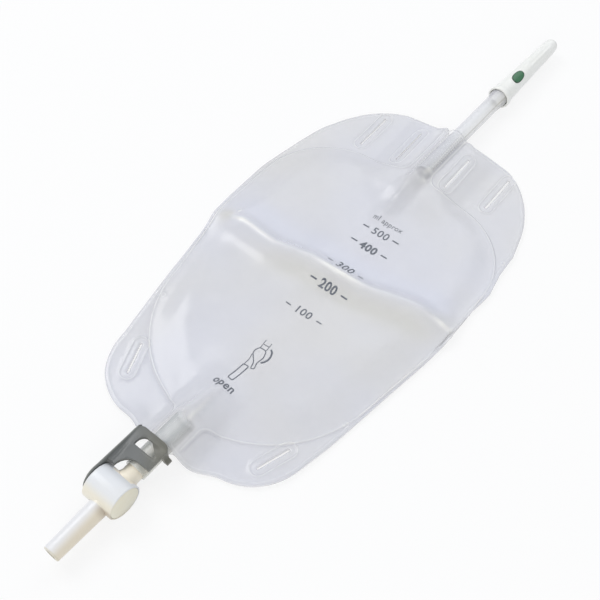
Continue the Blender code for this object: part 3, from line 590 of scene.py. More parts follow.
def film_edge():
    """Cut edge of both films, counter-clockwise, with the tab at the inlet."""
    corners = mirrored([(TOP_HALF, FILM_HIGH, TOP_CORNER_RADIUS), (BELLY_HALF, BELLY_Y, SIDE_RADIUS),
                        (SHOULDER_HALF, SHOULDER_Y, SIDE_RADIUS),
                        (BOTTOM_HALF, FILM_LOW, BOTTOM_CORNER_RADIUS)])
    line = stepped(rounded(corners, 24), EDGE_STEP)[::-1]
    x, y = line.T
    off = x - inlet_x(FILM_HIGH)
    tab = TAB_LENGTH * sum(share * bell((off - place) / half) for place, half, share in TAB_EARS)
    dip = near_middle(off, *TOP_DIP)
    bulge = near_middle(x - outlet_x(FILM_LOW), *BOTTOM_BULGE)
    trim = np.where(x > 0, np.interp(y, *zip(*RIGHT_TRIM)), np.interp(y, *zip(*LEFT_TRIM)))
    trim *= ease((np.abs(x) - TRIM_START) / TRIM_RUN)
    line = beside(line, 1.0) * trim[:, None] + line * (1 - trim[:, None])
    line[:, 1] += np.where(y > 0, tab * (y > FILM_HIGH - 0.001) - dip, -bulge * (y < FILM_LOW + 0.02))
    return line


def pouch_corners():
    """Right half of the weld that closes the bag, from top to bottom."""
    return [(POUCH_TOP_HALF, POUCH_TOP_Y, POUCH_TOP_RADIUS),
            (side_half(SHOULDER_Y) - POUCH_SIDE_INSET, SHOULDER_Y, 0),
            (side_half(POUCH_HIP_Y) - POUCH_SIDE_INSET, POUCH_HIP_Y, 0),
            (*POUCH_LOWER, POUCH_LOWER_RADIUS)]


def weld_path(side):
    """One side's weld, from the inlet channel round the bag to the outlet channel."""
    beside_tube = CHANNEL_HALVES[side]
    corner_y = POUCH_TOP_Y - CHANNEL_CORNER_DROP
    top = [(inlet_x(FILM_HIGH) * side + beside_tube, FILM_HIGH + 0.0004, 0),
           (inlet_x(corner_y) * side + beside_tube, corner_y, 0.006)]
    bottom = [(outlet_x(POUCH_OUTLET_Y) * side + TAB_WIDTH / 2, POUCH_OUTLET_Y, 0.005),
              (outlet_x(FILM_LOW) * side + TAB_WIDTH / 2, FILM_LOW - 0.0004, 0)]
    line = stepped(rounded(top + pouch_corners() + bottom, 16, closed=False), 0.0010, closed=False)
    line[:, 0] *= side
    return line


def strap_slits():
    """Centre, length, tilt and opening of each slit that a leg strap passes through."""
    upper = [(place, UPPER_SLIT_LENGTH, 0.0, opening) for place, opening in UPPER_SLITS]
    return upper + [((side * LOWER_SLIT_OFFSET, LOWER_SLIT_Y), LOWER_SLIT_LENGTH, -side * LOWER_SLIT_TILT,
                     LOWER_SLIT_OPENING) for side in (-1, 1)]


def beads():
    """Each weld line as (line, closed, half width, height, painted shade)."""
    found = [(beside(film_edge(), 0.0015), True, EDGE_BEAD)]
    for side in (-1, 1):
        path = weld_path(side)
        found += [(path, False, WELD_GROOVE), (beside(path, -side * 0.0009, False), False, WELD_BEAD)]
    for centre, length, tilt, _ in strap_slits():
        for inset, form in ((0, SLIT_BEAD), (SLIT_GROOVE_INSET, SLIT_GROOVE)):
            ring = capsule(centre, length + SLIT_BEAD_LENGTH - inset, SLIT_BEAD_WIDTH - inset, tilt)
            found.append((stepped(ring, EDGE_STEP), True, form))
    for place in SPOTS:
        found.append((stepped(capsule(place, 0.0022, 0.0020, 0.0, 6), 0.0006), True, SPOT_BEAD))
    return [(line, closed, half, rise * sizes().bead, tone) for line, closed, (half, rise, tone) in found]


def tree_of(places):
    """Search tree of flat places."""
    tree = KDTree(len(places))
    for index, place in enumerate(places):
        tree.insert((*place, 0), index)
    tree.balance()
    return tree


def line_distance(points, line, closed):
    """Distance from each point to a line, and how far along it the nearest place is."""
    fine = stepped(line, 0.0002, closed)
    tree = tree_of(fine)
    found = np.array([tree.find((*point, 0))[1:] for point in points]).reshape(-1, 2)
    return found[:, 1], found[:, 0] / len(fine)


def inside(points, outline):
    """Which points lie in a closed outline."""
    found = np.zeros(len(points), bool)
    for start, end in zip(outline, np.roll(outline, -1, axis=0)):
        if start[1] != end[1]:
            crosses = (start[1] > points[:, 1]) != (end[1] > points[:, 1])
            reach = start[0] + (points[:, 1] - start[1]) / (end[1] - start[1]) * (end[0] - start[0])
            found ^= crosses & (points[:, 0] < reach)
    return found


def tent(offset, radius, spread):
    """Height of a taut film over a round core, beside the core's axis."""
    offset = np.abs(offset)
    radius = np.maximum(radius, 0)
    touch = radius * radius / spread
    top = np.sqrt(np.maximum(radius * radius - offset * offset, 0))
    left = np.maximum((spread - offset) / (spread - touch), 0)
    return np.where(offset < touch, top, np.sqrt(radius * radius - touch * touch) * left ** 1.5)


def ripples(parts, x, y):
    """Sum of waves, each as (turn across, turn along, start, share)."""
    return sum(share * np.sin(across * x + along * y + start) for across, along, start, share in parts)


def ridge_over(points, start, end, half, rise, last):
    """Height of a straight ridge that sinks from its start to its end, where a share is left."""
    far, share = line_distance(points, np.array([start, end]), False)
    return rise * bell(far / half) * (1 + (last - 1) * share)


class FilmShape:
    """Height of the films at any place."""

    def __init__(self):
        bottom = [(TAB_WIDTH / 2, POUCH_OUTLET_Y, 0)]
        self.pouch = rounded(mirrored(pouch_corners() + bottom))
        self.edge = film_edge()
        self.lines = beads()

    def core(self, x, y):
        """Half the distance that the tubes and the valve push the films apart."""
        half = TUBE_RADIUS + (VALVE_LIPS_HALF - TUBE_RADIUS) * ease((INLET.y - VALVE_GAP - y) / VALVE_LENGTH)
        inlet_core = (half + TENT_ROOM) * (1 - ease((INLET.y - VALVE_LENGTH - y) / RISE_LENGTH))
        past_port = (y - OUTLET.y - PORT_END_Y - 0.0003) / LIFT_RUN
        outlet_core = (PORT_RADIUS + TENT_ROOM) * (1 - ease(past_port))
        off = x - outlet_x(y)
        loose = ease(past_port * 4)
        over_outlet = tent(off, outlet_core, OUTLET_TENT) * (1 - loose)
        over_outlet += outlet_core * bell(off / PAST_PORT_HALF) * loose
        inlet_tent = INLET_TENT + VALVE_TENT_GROWTH * ease((INLET.y - y) / VALVE_LENGTH)
        return np.maximum(tent(x - inlet_x(y), inlet_core, inlet_tent), over_outlet)

    def off_crease(self, x, y):
        """How far up the bag a place lies from the crease."""
        return y - CREASE_Y - CREASE_SLOPE * x - np.interp(x, *zip(*CREASE_BEND))

    def middle(self, x, y):
        """Plane between the films: the table, the crease and the lift to each line."""
        inlet_side = near_middle(x - inlet_x(y), 1, *INLET_LIFT)
        inlet_side *= 1 - ease((INLET.y - y) / LIFT_RUN)
        outlet_side = near_middle(x - outlet_x(y), 1, *OUTLET_LIFT)
        outlet_side *= 1 - ease((y - OUTLET.y - PORT_END_Y) / LIFT_RUN)
        off = self.off_crease(x, y)
        crease = bell(off / CREASE_SPREAD) * (1 - near_side(x, *CREASE_FADE))
        lift = np.maximum((INLET.z - WELD_HEIGHT) * inlet_side, (OUTLET.z - WELD_HEIGHT) * outlet_side)
        return WELD_HEIGHT + lift + sizes().crease * crease

    def waves(self, x, y):
        """Slow waves that both films share, never below the table."""
        wave = ripples(SHARED_WAVES, x, y)
        depth, _ = line_distance(np.column_stack([np.atleast_1d(x), np.atleast_1d(y)]), self.edge, True)
        curl = ease((0.010 - depth) / 0.010) * (1 + np.sin(105 * x - 88 * y + 1.0) * np.sin(47 * y + 31 * x))
        return sizes().wave * (0.18 * (wave + 2.7) + 0.4 * curl)

    def back(self, x, y):
        """Upper side of the back film."""
        low = self.middle(x, y) - SHEET_GAP / 2 - self.core(x, y)
        return np.maximum(FILM_THICKNESS, low)

    def relief(self, points):
        """Height of the weld lines, and the highlight and shade painted along them."""
        height = np.zeros(len(points))
        shade = np.zeros(len(points))
        for line, closed, half, rise, tone in self.lines:
            low, high = line.min(0) - half, line.max(0) + half
            near = np.flatnonzero(((points > low) & (points < high)).all(1))
            far, _ = line_distance(points[near], line, closed)
            form = 0.5 + 0.5 * np.cos(math.pi * np.clip(far / half, 0, 1))
            height[near] += rise * form
            shade[near] += tone * form
        return height, np.clip(shade, -1, 1)

    def loose(self, points):
        """Folds and waves of the front film alone."""
        x, y = points.T
        depth, _ = line_distance(points, self.pouch, True)
        room = ease(np.where(inside(points, self.pouch), depth, 0) / RISE_LENGTH)
        height = sizes().pouch * room
        height += sizes().wave * 0.30 * ripples(FRONT_WAVES, x, y) * room
        for fold in FOLDS:
            height += ridge_over(points, *fold)
        return height + CREST_HEIGHT * self.crest(x, y)

    def crest(self, x, y):
        """How sharp the fold's top is and how strong the highlight painted on it and on the narrow ridges,
        from 0 to 1.
        """
        bright = bell(self.off_crease(x, y) / CREST_SPREAD) * np.interp(x, *zip(*CREST_SHINE))
        points = np.column_stack([x, y])
        for ridge in HIGHLIGHT_RIDGES:
            bright = np.maximum(bright, ridge_over(points, *ridge))
        return bright

    def warmth(self, x, y):
        """Painted light beside the crease: painted warm grey shade below it and in a spot at its left end,
        painted lavender light above it.
        """
        off = self.off_crease(x, y)
        side = near_middle(x, 1, 0.048, 0.02)
        below = 0.8 * bell((off + 0.008) / 0.006) * (0.25 + 0.75 * ease((x + 0.040) / 0.030))
        corner = 0.9 * bell(np.hypot(x + 0.0600, y + 0.0185) / 0.0060)
        return side * (below - bell((off - 0.010) / 0.008)) + corner

    def front(self, points):
        """Upper side of the front film, with the height of its weld lines and the highlight and shade
        painted along them.
        """
        x, y = points.T
        relief, shade = self.relief(points)
        height = self.back(x, y) + SHEET_GAP + 2 * self.core(x, y) + FILM_THICKNESS
        return height + self.loose(points) + self.waves(x, y) + relief, relief, shade


def film_net(shape):
    """Flat points and triangles of the film, its slits open, with points along every weld line."""
    edge = film_edge()
    slits = [stepped(capsule(centre, length, wide, tilt), 0.0006)
             for centre, length, tilt, wide in strap_slits()]
    points, edges = [], []

    def add_line(line, closed):
        first = len(points)
        points.extend(map(tuple, line))
        edges.extend((first + index, first + index + 1) for index in range(len(line) - 1))
        if closed:
            edges.append((len(points) - 1, first))

    add_line(edge, True)
    for slit in slits:
        add_line(slit, True)
        add_line(stepped(beside(slit, -0.0009), 0.0008), True)
    for line, closed, half, _, _ in shape.lines:
        for share in (-1, -0.5, 0, 0.5, 1):
            parallel = beside(line, share * half, closed)
            add_line(parallel if closed else parallel[inside(parallel, edge)], closed)
    tree = tree_of(points)
    fine = sizes().net / 2
    rows = np.arange(FILM_LOW, FILM_HIGH, fine * math.sqrt(3) / 2)
    for row, y in enumerate(rows):
        for column, x in enumerate(np.arange(-SHOULDER_HALF, SHOULDER_HALF, fine)):
            x += fine / 2 * (row % 2)
            kept = row % 2 == 0 and (column + row // 2) % 2 == 0
            kept = kept or (y > INLET_FINE[1] and abs(x - inlet_x(y)) < INLET_FINE[0])
            kept = kept or (y < OUTLET_FINE[1] and abs(x - outlet_x(y)) < OUTLET_FINE[0])
            if kept or abs(shape.off_crease(x, y)) < CREASE_FINE:
                if tree.find((x, y, 0))[2] > 0.55 * fine:
                    points.append((x, y))
    found = delaunay_2d_cdt([Vector(point) for point in points], edges, [], 0, 1e-6)
    places = np.array([tuple(point) for point in found[0]])
    faces = np.array(found[2])
    centres = places[faces].mean(1)
    kept = inside(centres, edge)
    for slit in slits:
        kept &= ~inside(centres, slit)
    faces = faces[kept]
    used = np.unique(faces)
    renumbered = np.full(len(places), -1)
    renumbered[used] = np.arange(len(used))
    return places[used], renumbered[faces]


def add_sheet(name, places, faces, heights, shades):
    """A film from its points, given its thickness by Solidify."""
    mesh = bpy.data.meshes.new(name)
    mesh.from_pydata(np.column_stack([places, heights]).tolist(), [], faces.tolist())
    flip = bmesh_from(mesh)
    bmesh.ops.recalc_face_normals(flip, faces=flip.faces)
    if sum(face.normal.z for face in flip.faces) < 0:
        bmesh.ops.reverse_faces(flip, faces=flip.faces)
    flip.to_mesh(mesh)
    flip.free()
    mesh.shade_smooth()
    for shade, values in shades.items():
        attribute = mesh.attributes.new(shade, "FLOAT", "POINT")
        attribute.data.foreach_set("value", values.astype(np.float32))
    obj = linked(name, mesh)
    wall = obj.modifiers.new("Film thickness", "SOLIDIFY")
    wall.thickness = FILM_THICKNESS
    wall.offset = -1
    wall.material_offset = 1
    wall.material_offset_rim = 2
    return obj


def film_finish(name, alpha):
    """Clear PVC film: a milky haze in cool and warm patches, gloss, denser welds with a painted highlight on
    their beads and painted shade in their grooves, painted shade below the crease and painted lavender light
    above it, and a painted highlight along the fold's top.
    """
    tone = tuple(colours().film)
    finish = Finish(name, IOR=1.5, Coat_Roughness=0.08, Coat_Weight=0.45)
    weld = finish.attribute("weld")
    bead = weld.over(0.0, 1.0)
    groove_shade = (weld * -1).over(0.0, 1.0)
    crest = finish.attribute("crest")
    warmth = finish.attribute("warmth")
    over_tube = finish.attribute("over_tube")
    haze = finish.noise(30, 4, 0.55)
    patch = finish.noise(13, 2, 0.5)
    streak = finish.noise(60, 3, 0.5, (1.0, 0.35, 1.0), 0.5)
    cool = shaded(tone, (0.66, 0.69, 0.82), 0.45)
    warm = shaded(tone, (0.70, 0.69, 0.64), 0.50)
    # The painted shading beside the crease also tips the random patches warm below it and cool above it
    colour = finish.mix((patch + warmth * 0.3).over(0.30, 0.72), cool, warm)
    # Painted warm grey shade below the crease, then painted lavender light above it
    colour = finish.mix(warmth.over(0.15, 1.0) * 0.6, colour, (0.64, 0.63, 0.56))
    colour = finish.mix((warmth * -1).over(0.1, 1.0) * 0.6, colour, (0.68, 0.71, 0.86))
    # Painted shade in the weld grooves
    colour = finish.mix(groove_shade, colour, tinted(tone, 0.80))
    # Painted highlight on the weld beads, along the fold's top and on the narrow ridges
    colour = finish.mix((bead * 0.6 + crest * 0.95).over(0.0, 1.0), colour, (0.93, 0.92, 0.88))
    density = (alpha + (haze - 0.5) * 0.10 + bead * 0.14 + groove_shade * 0.16 + crest * 0.35) - over_tube * 0.27
    finish.paint(Base_Color=colour, Alpha=density, Roughness=0.16 + streak * 0.12)
    grain = finish.noise(900, 2, 0.6)
    finish.height((haze, 0.0014, 0.35), (streak, 0.0009, 0.4), (grain, 0.00004, 0.5))
    return finish.material


def inner_finish(name, alpha):
    """Hidden side of a clear wall, almost unseen."""
    finish = Finish(name, Roughness=0.3, IOR=1.15, Alpha=alpha)
    cloud = finish.noise(45, 2)
    tone = tuple(colours().film)
    finish.paint(Base_Color=finish.mix(cloud, tone, tinted(tone, 1.12)))
    return finish.material


def rim_finish(name):
    """Cut edge of a film, where the light gathers."""
    finish = Finish(name, Roughness=0.2, IOR=1.5, Alpha=0.5)
    cloud = finish.noise(70, 2)
    finish.paint(Base_Color=finish.mix(cloud, (0.60, 0.61, 0.66), (0.90, 0.90, 0.92)))
    return finish.material


def moulded(name, tone, roughness, mottle=0.05, warm=(1.0, 0.97, 0.90)):
    """Injection-moulded plastic: faint mottling, a fine grain and slightly uneven gloss."""
    finish = Finish(name, IOR=1.49, Coat_Weight=0.15, Coat_Roughness=0.2)
    cloud = finish.noise(110, 4, 0.55)
    flow = finish.noise(240, 3, 0.5, (1.0, 0.2, 1.0))
    dark = tuple(c * w * (1 - mottle) for c, w in zip(tone, warm))
    finish.paint(Base_Color=finish.mix((cloud * 0.7 + flow * 0.3).over(0.3, 0.7), dark, tone),
                 Roughness=roughness + (flow - 0.5) * 0.16)
    finish.mould_grain(cloud, 0.00003, 0.15)
    return finish.material


def clear_tube_finish(name, alpha, painted_light_bands, lean):
    """Soft clear tube with fine lines running along it and bands round it by its turn that paint a highlight
    and shade.
    """
    finish = Finish(name, IOR=1.42, Coat_Weight=0.5, Coat_Roughness=0.10)
    lines = finish.noise(420, 3, 0.5, (1.0, 0.02, 1.0), lean)
    haze = finish.noise(60, 3)
    turn = finish.attribute("turn") + (lines - 0.5) * 0.05
    colour = finish.node("ShaderNodeValToRGB", {"stops": painted_light_bands}, {"Fac": turn})
    finish.paint(Base_Color=finish.mix(lines.over(0.3, 0.7) * 0.25, colour, tuple(colours().tube)),
                 Alpha=alpha + (haze - 0.5) * 0.12, Roughness=0.14 + haze * 0.1)
    finish.height((lines, 0.00008, 0.4))
    return finish.material


def add_piece(name, bm, materials, body, replaces=(), sharp=38.0):
    """Turn a bmesh into a piece that rides on a body."""
    bmesh.ops.recalc_face_normals(bm, faces=bm.faces)
    mesh = mesh_from(bm, name)
    mesh.shade_smooth()
    mesh.set_sharp_from_angle(angle=math.radians(sharp))
    for material in materials if isinstance(materials, list) else [materials]:
        mesh.materials.append(material)
    return settle(linked(name, mesh), body, replaces)


def settle(obj, body, replaces=()):
    """Ride a piece on its body and hide the CAD parts that it replaces."""
    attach(obj, body)
    if replaces:
        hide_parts(*replaces)
    return obj


def lathe(profile, steps, closed=True, axis="Y"):
    """Spin a profile of (place, radius) points about the line of its places."""
    bm = bmesh.new()
    if axis == "Y":
        verts = [bm.verts.new((radius, place, 0)) for place, radius in profile]
    else:
        verts = [bm.verts.new((place, radius, 0)) for place, radius in profile]
    edges = [bm.edges.new(pair) for pair in zip(verts, verts[1:])]
    if closed:
        edges.append(bm.edges.new((verts[-1], verts[0])))
    spin_axis = (0, 1, 0) if axis == "Y" else (1, 0, 0)
    bmesh.ops.spin(bm, geom=verts + edges, cent=(0, 0, 0), axis=spin_axis, angle=2 * math.pi,
                   steps=steps, use_merge=True)
    bmesh.ops.remove_doubles(bm, verts=bm.verts, dist=1e-7)
    return bm


def clear_tube(outer, inner, radius):
    """A tube's bmesh from two blind profiles, with the turn round its axis as an attribute.

    The middle stays solid, so that a view through it passes only its outer wall. The ends and the faces
    inside the radius of the bore take the second material.
    """
    bm = lathe(outer, 64, closed=False)
    append(bm, lathe(inner + outer[:1], 64, closed=False))
    bmesh.ops.remove_doubles(bm, verts=bm.verts, dist=1e-7)
    bm.normal_update()
    for face in bm.faces:
        reach = max(math.hypot(vert.co.x, vert.co.z) for vert in face.verts)
        face.material_index = int(reach < radius or abs(face.normal.y) > 0.9)
    turn = bm.verts.layers.float.new("turn")
    for vert in bm.verts:
        vert[turn] = math.atan2(vert.co.z, -vert.co.x) / (2 * math.pi) % 1.0
    return bm


def to_line(bm, origin, lean, back=False):
    """Move a piece from its own axis to the inlet or the outlet line, or back."""
    place = Matrix.Translation(origin) @ Matrix.Rotation(-lean, 4, "Z")
    bmesh.ops.transform(bm, matrix=place.inverted() if back else place, verts=bm.verts)
    return bm


def turn_round(start, end, count=5, outward=True):
    """Profile points of a quarter-round edge between two places."""
    (place_a, radius_a), (place_b, radius_b) = start, end
    points = []
    for step in range(count + 1):
        angle = math.pi / 2 * step / count
        across, along = math.sin(angle), 1 - math.cos(angle)
        if not outward:
            across, along = along, across
        points.append((place_a + (place_b - place_a) * along, radius_a + (radius_b - radius_a) * across))
    return points


def combined(base, tool, operation):
    """Apply one exact Boolean and remove its tool."""
    modifier = base.modifiers.new(operation.title(), "BOOLEAN")
    modifier.operation = operation
    modifier.solver = "EXACT"
    modifier.object = tool
    mesh = evaluated(base)
    base.modifiers.clear()
    base.data = mesh
    bpy.data.objects.remove(tool, do_unlink=True)
    return base


def loose_object(bm, name):
    """A helper solid for a Boolean."""
    bmesh.ops.recalc_face_normals(bm, faces=bm.faces)
    return linked(name, mesh_from(bm, name))


def bmesh_of(obj):
    """The helper's mesh as a bmesh; the helper is removed."""
    bm = bmesh_from(obj.data)
    bpy.data.objects.remove(obj, do_unlink=True)
    return bm


def merged_copy(node):
    """A CAD node's mesh as whole flat faces."""
    bm = bmesh_from(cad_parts[node].data)
    bmesh.ops.remove_doubles(bm, verts=bm.verts, dist=1e-6)
    bmesh.ops.dissolve_limit(bm, angle_limit=math.radians(0.8), verts=bm.verts, edges=bm.edges)
    return bm


def soften(bm, width, segments, above):
    """Round the edges that turn by more than an angle in degrees."""
    sharp = [edge for edge in bm.edges if edge.calc_face_angle(0) > math.radians(above)]
    bmesh.ops.bevel(bm, geom=sharp, offset=width, offset_type="OFFSET", segments=segments,
                    profile=0.5, affect="EDGES", material=-1, clamp_overlap=True)
    return bm


class BagOperator:
    """What the pieces' operators share."""

    bl_options = {"REGISTER", "UNDO"}

    def execute(self, context):
        self.build(context.scene.drain_bag.sizes, context.scene.drain_bag.colours)
        return {"FINISHED"}


class DRAINBAG_OT_films(BagOperator, bpy.types.Operator):
    """Build the front and back films with their welds, slits, crease and folds"""

    bl_idname = "drainbag.films"
    bl_label = "Films"

    def build(self, size, colour):
        shape = FilmShape()
        places, faces = film_net(shape)
        x, y = places.T
        front, relief, shade = shape.front(places)
        back = shape.back(x, y) + shape.waves(x, y) + np.maximum(relief, 0) * 0.6
        over_inlet = ease((y - INLET.y + 0.001) / 0.002)
        over_inlet *= near_middle(x - inlet_x(y), 1, 0.004, 0.0012)
        over_port = ease((OUTLET.y + PORT_END_Y + 0.004 - y) / 0.008)
        over_port *= near_middle(x - outlet_x(y), 1, 0.003, 0.004)
        shades = {"weld": shade, "crest": shape.crest(x, y), "warmth": shape.warmth(x, y),
                  "over_tube": over_inlet + over_port}
        for name, heights, node, alpha in (("front_sheet", front, "front_film", 0.46),
                                           ("back_sheet", back, "back_film", 0.36)):
            sheet = add_sheet(name, places, faces, heights, shades)
            shades["crest"] = np.zeros(len(x))
            for material in (film_finish(name + "_film", alpha), inner_finish(name + "_inner", 0.08),
                             rim_finish(name + "_edge")):
                sheet.data.materials.append(material)
            settle(sheet, "bag", [node])
        edge = film_edge()
        along = np.roll(edge, -1, axis=0)
        area = abs((edge[:, 0] * along[:, 1] - along[:, 0] * edge[:, 1]).sum()) / 2


class DRAINBAG_OT_valve(BagOperator, bpy.types.Operator):
    """Build the film sleeve that keeps the bag's content from flowing back"""

    bl_idname = "drainbag.valve"
    bl_label = "Valve"

    def build(self, size, colour):
        shape = FilmShape()
        bm = bmesh.new()
        loops = []
        stations = 24
        for station in range(stations + 1):
            y = INLET.y - VALVE_GAP - VALVE_LENGTH * station / stations
            eased = float(ease(station / stations))
            wide, high = (TUBE_RADIUS + (half - TUBE_RADIUS) * eased for half in VALVE_END_HALF)
            axis = inlet_x(y)
            level = float(shape.back(axis, y) + SHEET_GAP / 2 + shape.core(axis, y))
            level += float(shape.waves(axis, y)) + 0.0003 * eased
            ring = bmesh.ops.create_circle(bm, segments=48, radius=1.0)["verts"]
            for vert in ring:
                vert.co = (axis + wide * vert.co.x, y, level + high * vert.co.y)
            loops.append(ring)
        skin(bm, loops)
        bmesh.ops.holes_fill(bm, edges=bm.edges, sides=0)
        add_piece("valve_sleeve", bm, inner_finish("valve_film", 0.035), "bag", ["non_return_valve"])


class DRAINBAG_OT_print(BagOperator, bpy.types.Operator):
    """Print the scale and the tap sign on the front film"""

    bl_idname = "drainbag.print"
    bl_label = "Print"

    def words(self, text, bold):
        """Flat lettering as a bmesh, a metre to the em."""
        curve = bpy.data.curves.new("letters", "FONT")
        curve.body = text
        curve.offset = bold
        curve.space_character = 1.10
        curve.resolution_u = 6
        obj = linked("letters", curve)
        mesh = evaluated(obj)
        bpy.data.objects.remove(obj, do_unlink=True)
        bm = bmesh_from(mesh)
        bpy.data.meshes.remove(mesh)
        bmesh.ops.remove_doubles(bm, verts=bm.verts, dist=1e-6)
        return bm

    def stroke(self, bm, line, width, closed=False):
        """A flat pen stroke along a line."""
        line = stepped(np.array(line, float), PEN_STEP, closed)
        sides = [[bm.verts.new((*point, 0)) for point in beside(line, share * width, closed)]
                 for share in (0.5, -0.5)]
        count = len(line)
        for index in range(count if closed else count - 1):
            after = (index + 1) % count
            bm.faces.new((sides[0][index], sides[1][index], sides[1][after], sides[0][after]))

    def lay(self, name, bm, material, shape):
        """Cut a flat print finely, lay it on the film and give it the ink's thickness."""
        bmesh.ops.triangulate(bm, faces=bm.faces)
        for _ in range(3):
            long = [edge for edge in bm.edges if edge.calc_length() > PRINT_EDGE]
            if long:
                bmesh.ops.subdivide_edges(bm, edges=long, cuts=1)
                bmesh.ops.triangulate(bm, faces=bm.faces)
        bmesh.ops.recalc_face_normals(bm, faces=bm.faces)
        for face in list(bm.faces):
            if face.normal.z < 0:
                face.normal_flip()
        places = np.array([vert.co[:2] for vert in bm.verts])
        heights = shape.front(places)[0]
        for vert, height in zip(bm.verts, heights):
            vert.co.z = height + PRINT_LIFT
        grown = bmesh.ops.extrude_face_region(bm, geom=list(bm.faces))
        top = [item for item in grown["geom"] if isinstance(item, bmesh.types.BMVert)]
        bmesh.ops.translate(bm, verts=top, vec=(0, 0, INK_THICKNESS))
        return add_piece(name, bm, material, "bag", sharp=60)

    def build(self, size, colour):
        shape = FilmShape()
        ink = Finish("scale_ink", IOR=1.5)
        worn = ink.noise(1500, 4, 0.7).over(0.35, 0.65)
        dark = tuple(colour.ink)
        ink.paint(Base_Color=ink.mix(worn, dark, shaded(dark, (0.3, 0.32, 0.36), 0.35)),
                  Roughness=0.35 + worn * 0.25)
        ink.height((worn, 0.00002, 0.5))
        scale = bmesh.new()
        for text, (left, right), base, share, bold in MARKS:
            self.add_words(scale, text, bold, (left, right), base, size.digit * share)
        for left, right, y, share in DASHES:
            for middle in (left, right):
                half = DASH_HALF * share
                self.stroke(scale, [(middle - half, y), (middle + half, y)], DASH_WIDTH * share)
        self.lay("scale_print", scale, ink.material, shape)
        sign = bmesh.new()
        self.tap_sign(sign)
        self.lay("tap_sign_print", sign, ink.material, shape)

    def add_words(self, target, text, bold, ends, base, height):
        """Put lettering into the print, between its two ends and up from its base."""
        bm = self.words(text, bold)
        x = [vert.co.x for vert in bm.verts]
        wide = (ends[1] - ends[0]) / (max(x) - min(x))
        bmesh.ops.translate(bm, verts=bm.verts, vec=(-min(x), 0, 0))
        bmesh.ops.scale(bm, verts=bm.verts, vec=(wide, height / CAPITAL_HEIGHT, 1))
        bmesh.ops.translate(bm, verts=bm.verts, vec=(ends[0], base, 0))
        append(target, bm)

    def tap_sign(self, sign):
        """Plain outline of a lever tap: neck, collar, lever, spout and the lever's swing."""
        neck = [(0.0023, -0.0652), (0.0025, -0.0677), (0.0058, -0.0674), (0.0056, -0.0653)]
        collar = [(0.0025, -0.0677), (0.0058, -0.0674), (0.0059, -0.0699), (0.0028, -0.0701)]
        lever = rounded([(0.0026, -0.0701, 0.0008), (0.0061, -0.0698, 0.0014), (0.0074, -0.0735, 0.003),
                         (0.0068, -0.0775, 0.003), (0.0078, -0.0806, 0.0003), (0.0064, -0.0815, 0.0003),
                         (0.0054, -0.0780, 0.003), (0.0012, -0.0735, 0.003)], 5)
        link = [(0.0020, -0.0748), (0.0028, -0.0782), (0.0026, -0.0813)]
        spout = rounded([(0.0024, -0.0814, 0.0004), (0.0052, -0.0811, 0.0004), (0.0044, -0.0916, 0.0005),
                         (0.0016, -0.0912, 0.0005)], 5)
        swing = [(0.0072, -0.0678), (0.0086, -0.0689), (0.0095, -0.0708), (0.0097, -0.0730),
                 (0.0091, -0.0750), (0.0080, -0.0764)]
        for line, closed, width in ((neck, False, 0.7), (collar, True, 0.7), (lever, True, 1.0),
                                    (link, False, 0.7), (spout, True, 1.1), (swing, False, 1.8)):
            self.stroke(sign, line, SIGN_PEN * width, closed)


class DRAINBAG_OT_inlet(BagOperator, bpy.types.Operator):
    """Build the soft inlet tube and finish the connector inside the cap"""

    bl_idname = "drainbag.inlet"
    bl_label = "Inlet"

    def build(self, size, colour):
        flare_start = CAP_MOUTH_Y - FLARE_LENGTH
        outer = [(0.0, TUBE_RADIUS - 0.0002), (0.0002, TUBE_RADIUS)]
        outer += [(flare_start * share, TUBE_RADIUS + 0.00004 * math.sin(9 * share))
                  for share in (0.1, 0.25, 0.4, 0.55, 0.7, 0.85, 1.0)]
        outer += [(flare_start + FLARE_LENGTH * share, TUBE_RADIUS + 0.0007 * float(ease(share)))
                  for share in (0.25, 0.5, 0.75, 1.0)]
        outer.append((FLARE_END_Y, 0.0050))
        outer += [(FLARE_END_Y, 0.0037), (FLARE_END_Y - 0.0132, 0.0037), (FLARE_END_Y - 0.0142, 0.0)]
        inner = [(0.0022, 0.0), (0.0019, 0.0026), (0.0010, 0.0032), (0.0, 0.0032)]
        # Bands round the inlet tube by its turn: a painted highlight in white, painted shade in grey and in
        # a dark olive line, with the tube's lilac tint between
        grey, lilac, white = (0.62, 0.62, 0.62), (0.84, 0.84, 0.90), (0.99, 0.99, 0.99)
        painted_light_bands = [(0.055, grey), (0.095, (0.80, 0.80, 0.84)), (0.16, lilac), (0.30, (0.87, 0.88, 0.91)),
                   (0.345, white), (0.385, white), (0.412, (0.60, 0.58, 0.52)), (0.435, (0.90, 0.90, 0.88)),
                   (0.51, (0.84, 0.84, 0.84)), (0.56, grey)]
        glass = [clear_tube_finish("inlet_clear", 0.58, painted_light_bands, INLET_LEAN),
                 inner_finish("inlet_bore", 0.06)]
        add_piece("inlet_hose", to_line(clear_tube(outer, inner, 0.0038), INLET, INLET_LEAN), glass, "bag",
                  ["inlet_tube"])
        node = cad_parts["inlet_connector"]
        node.data.materials.clear()
        node.data.materials.append(moulded("connector_plastic", tuple(colour.plastic), 0.35))


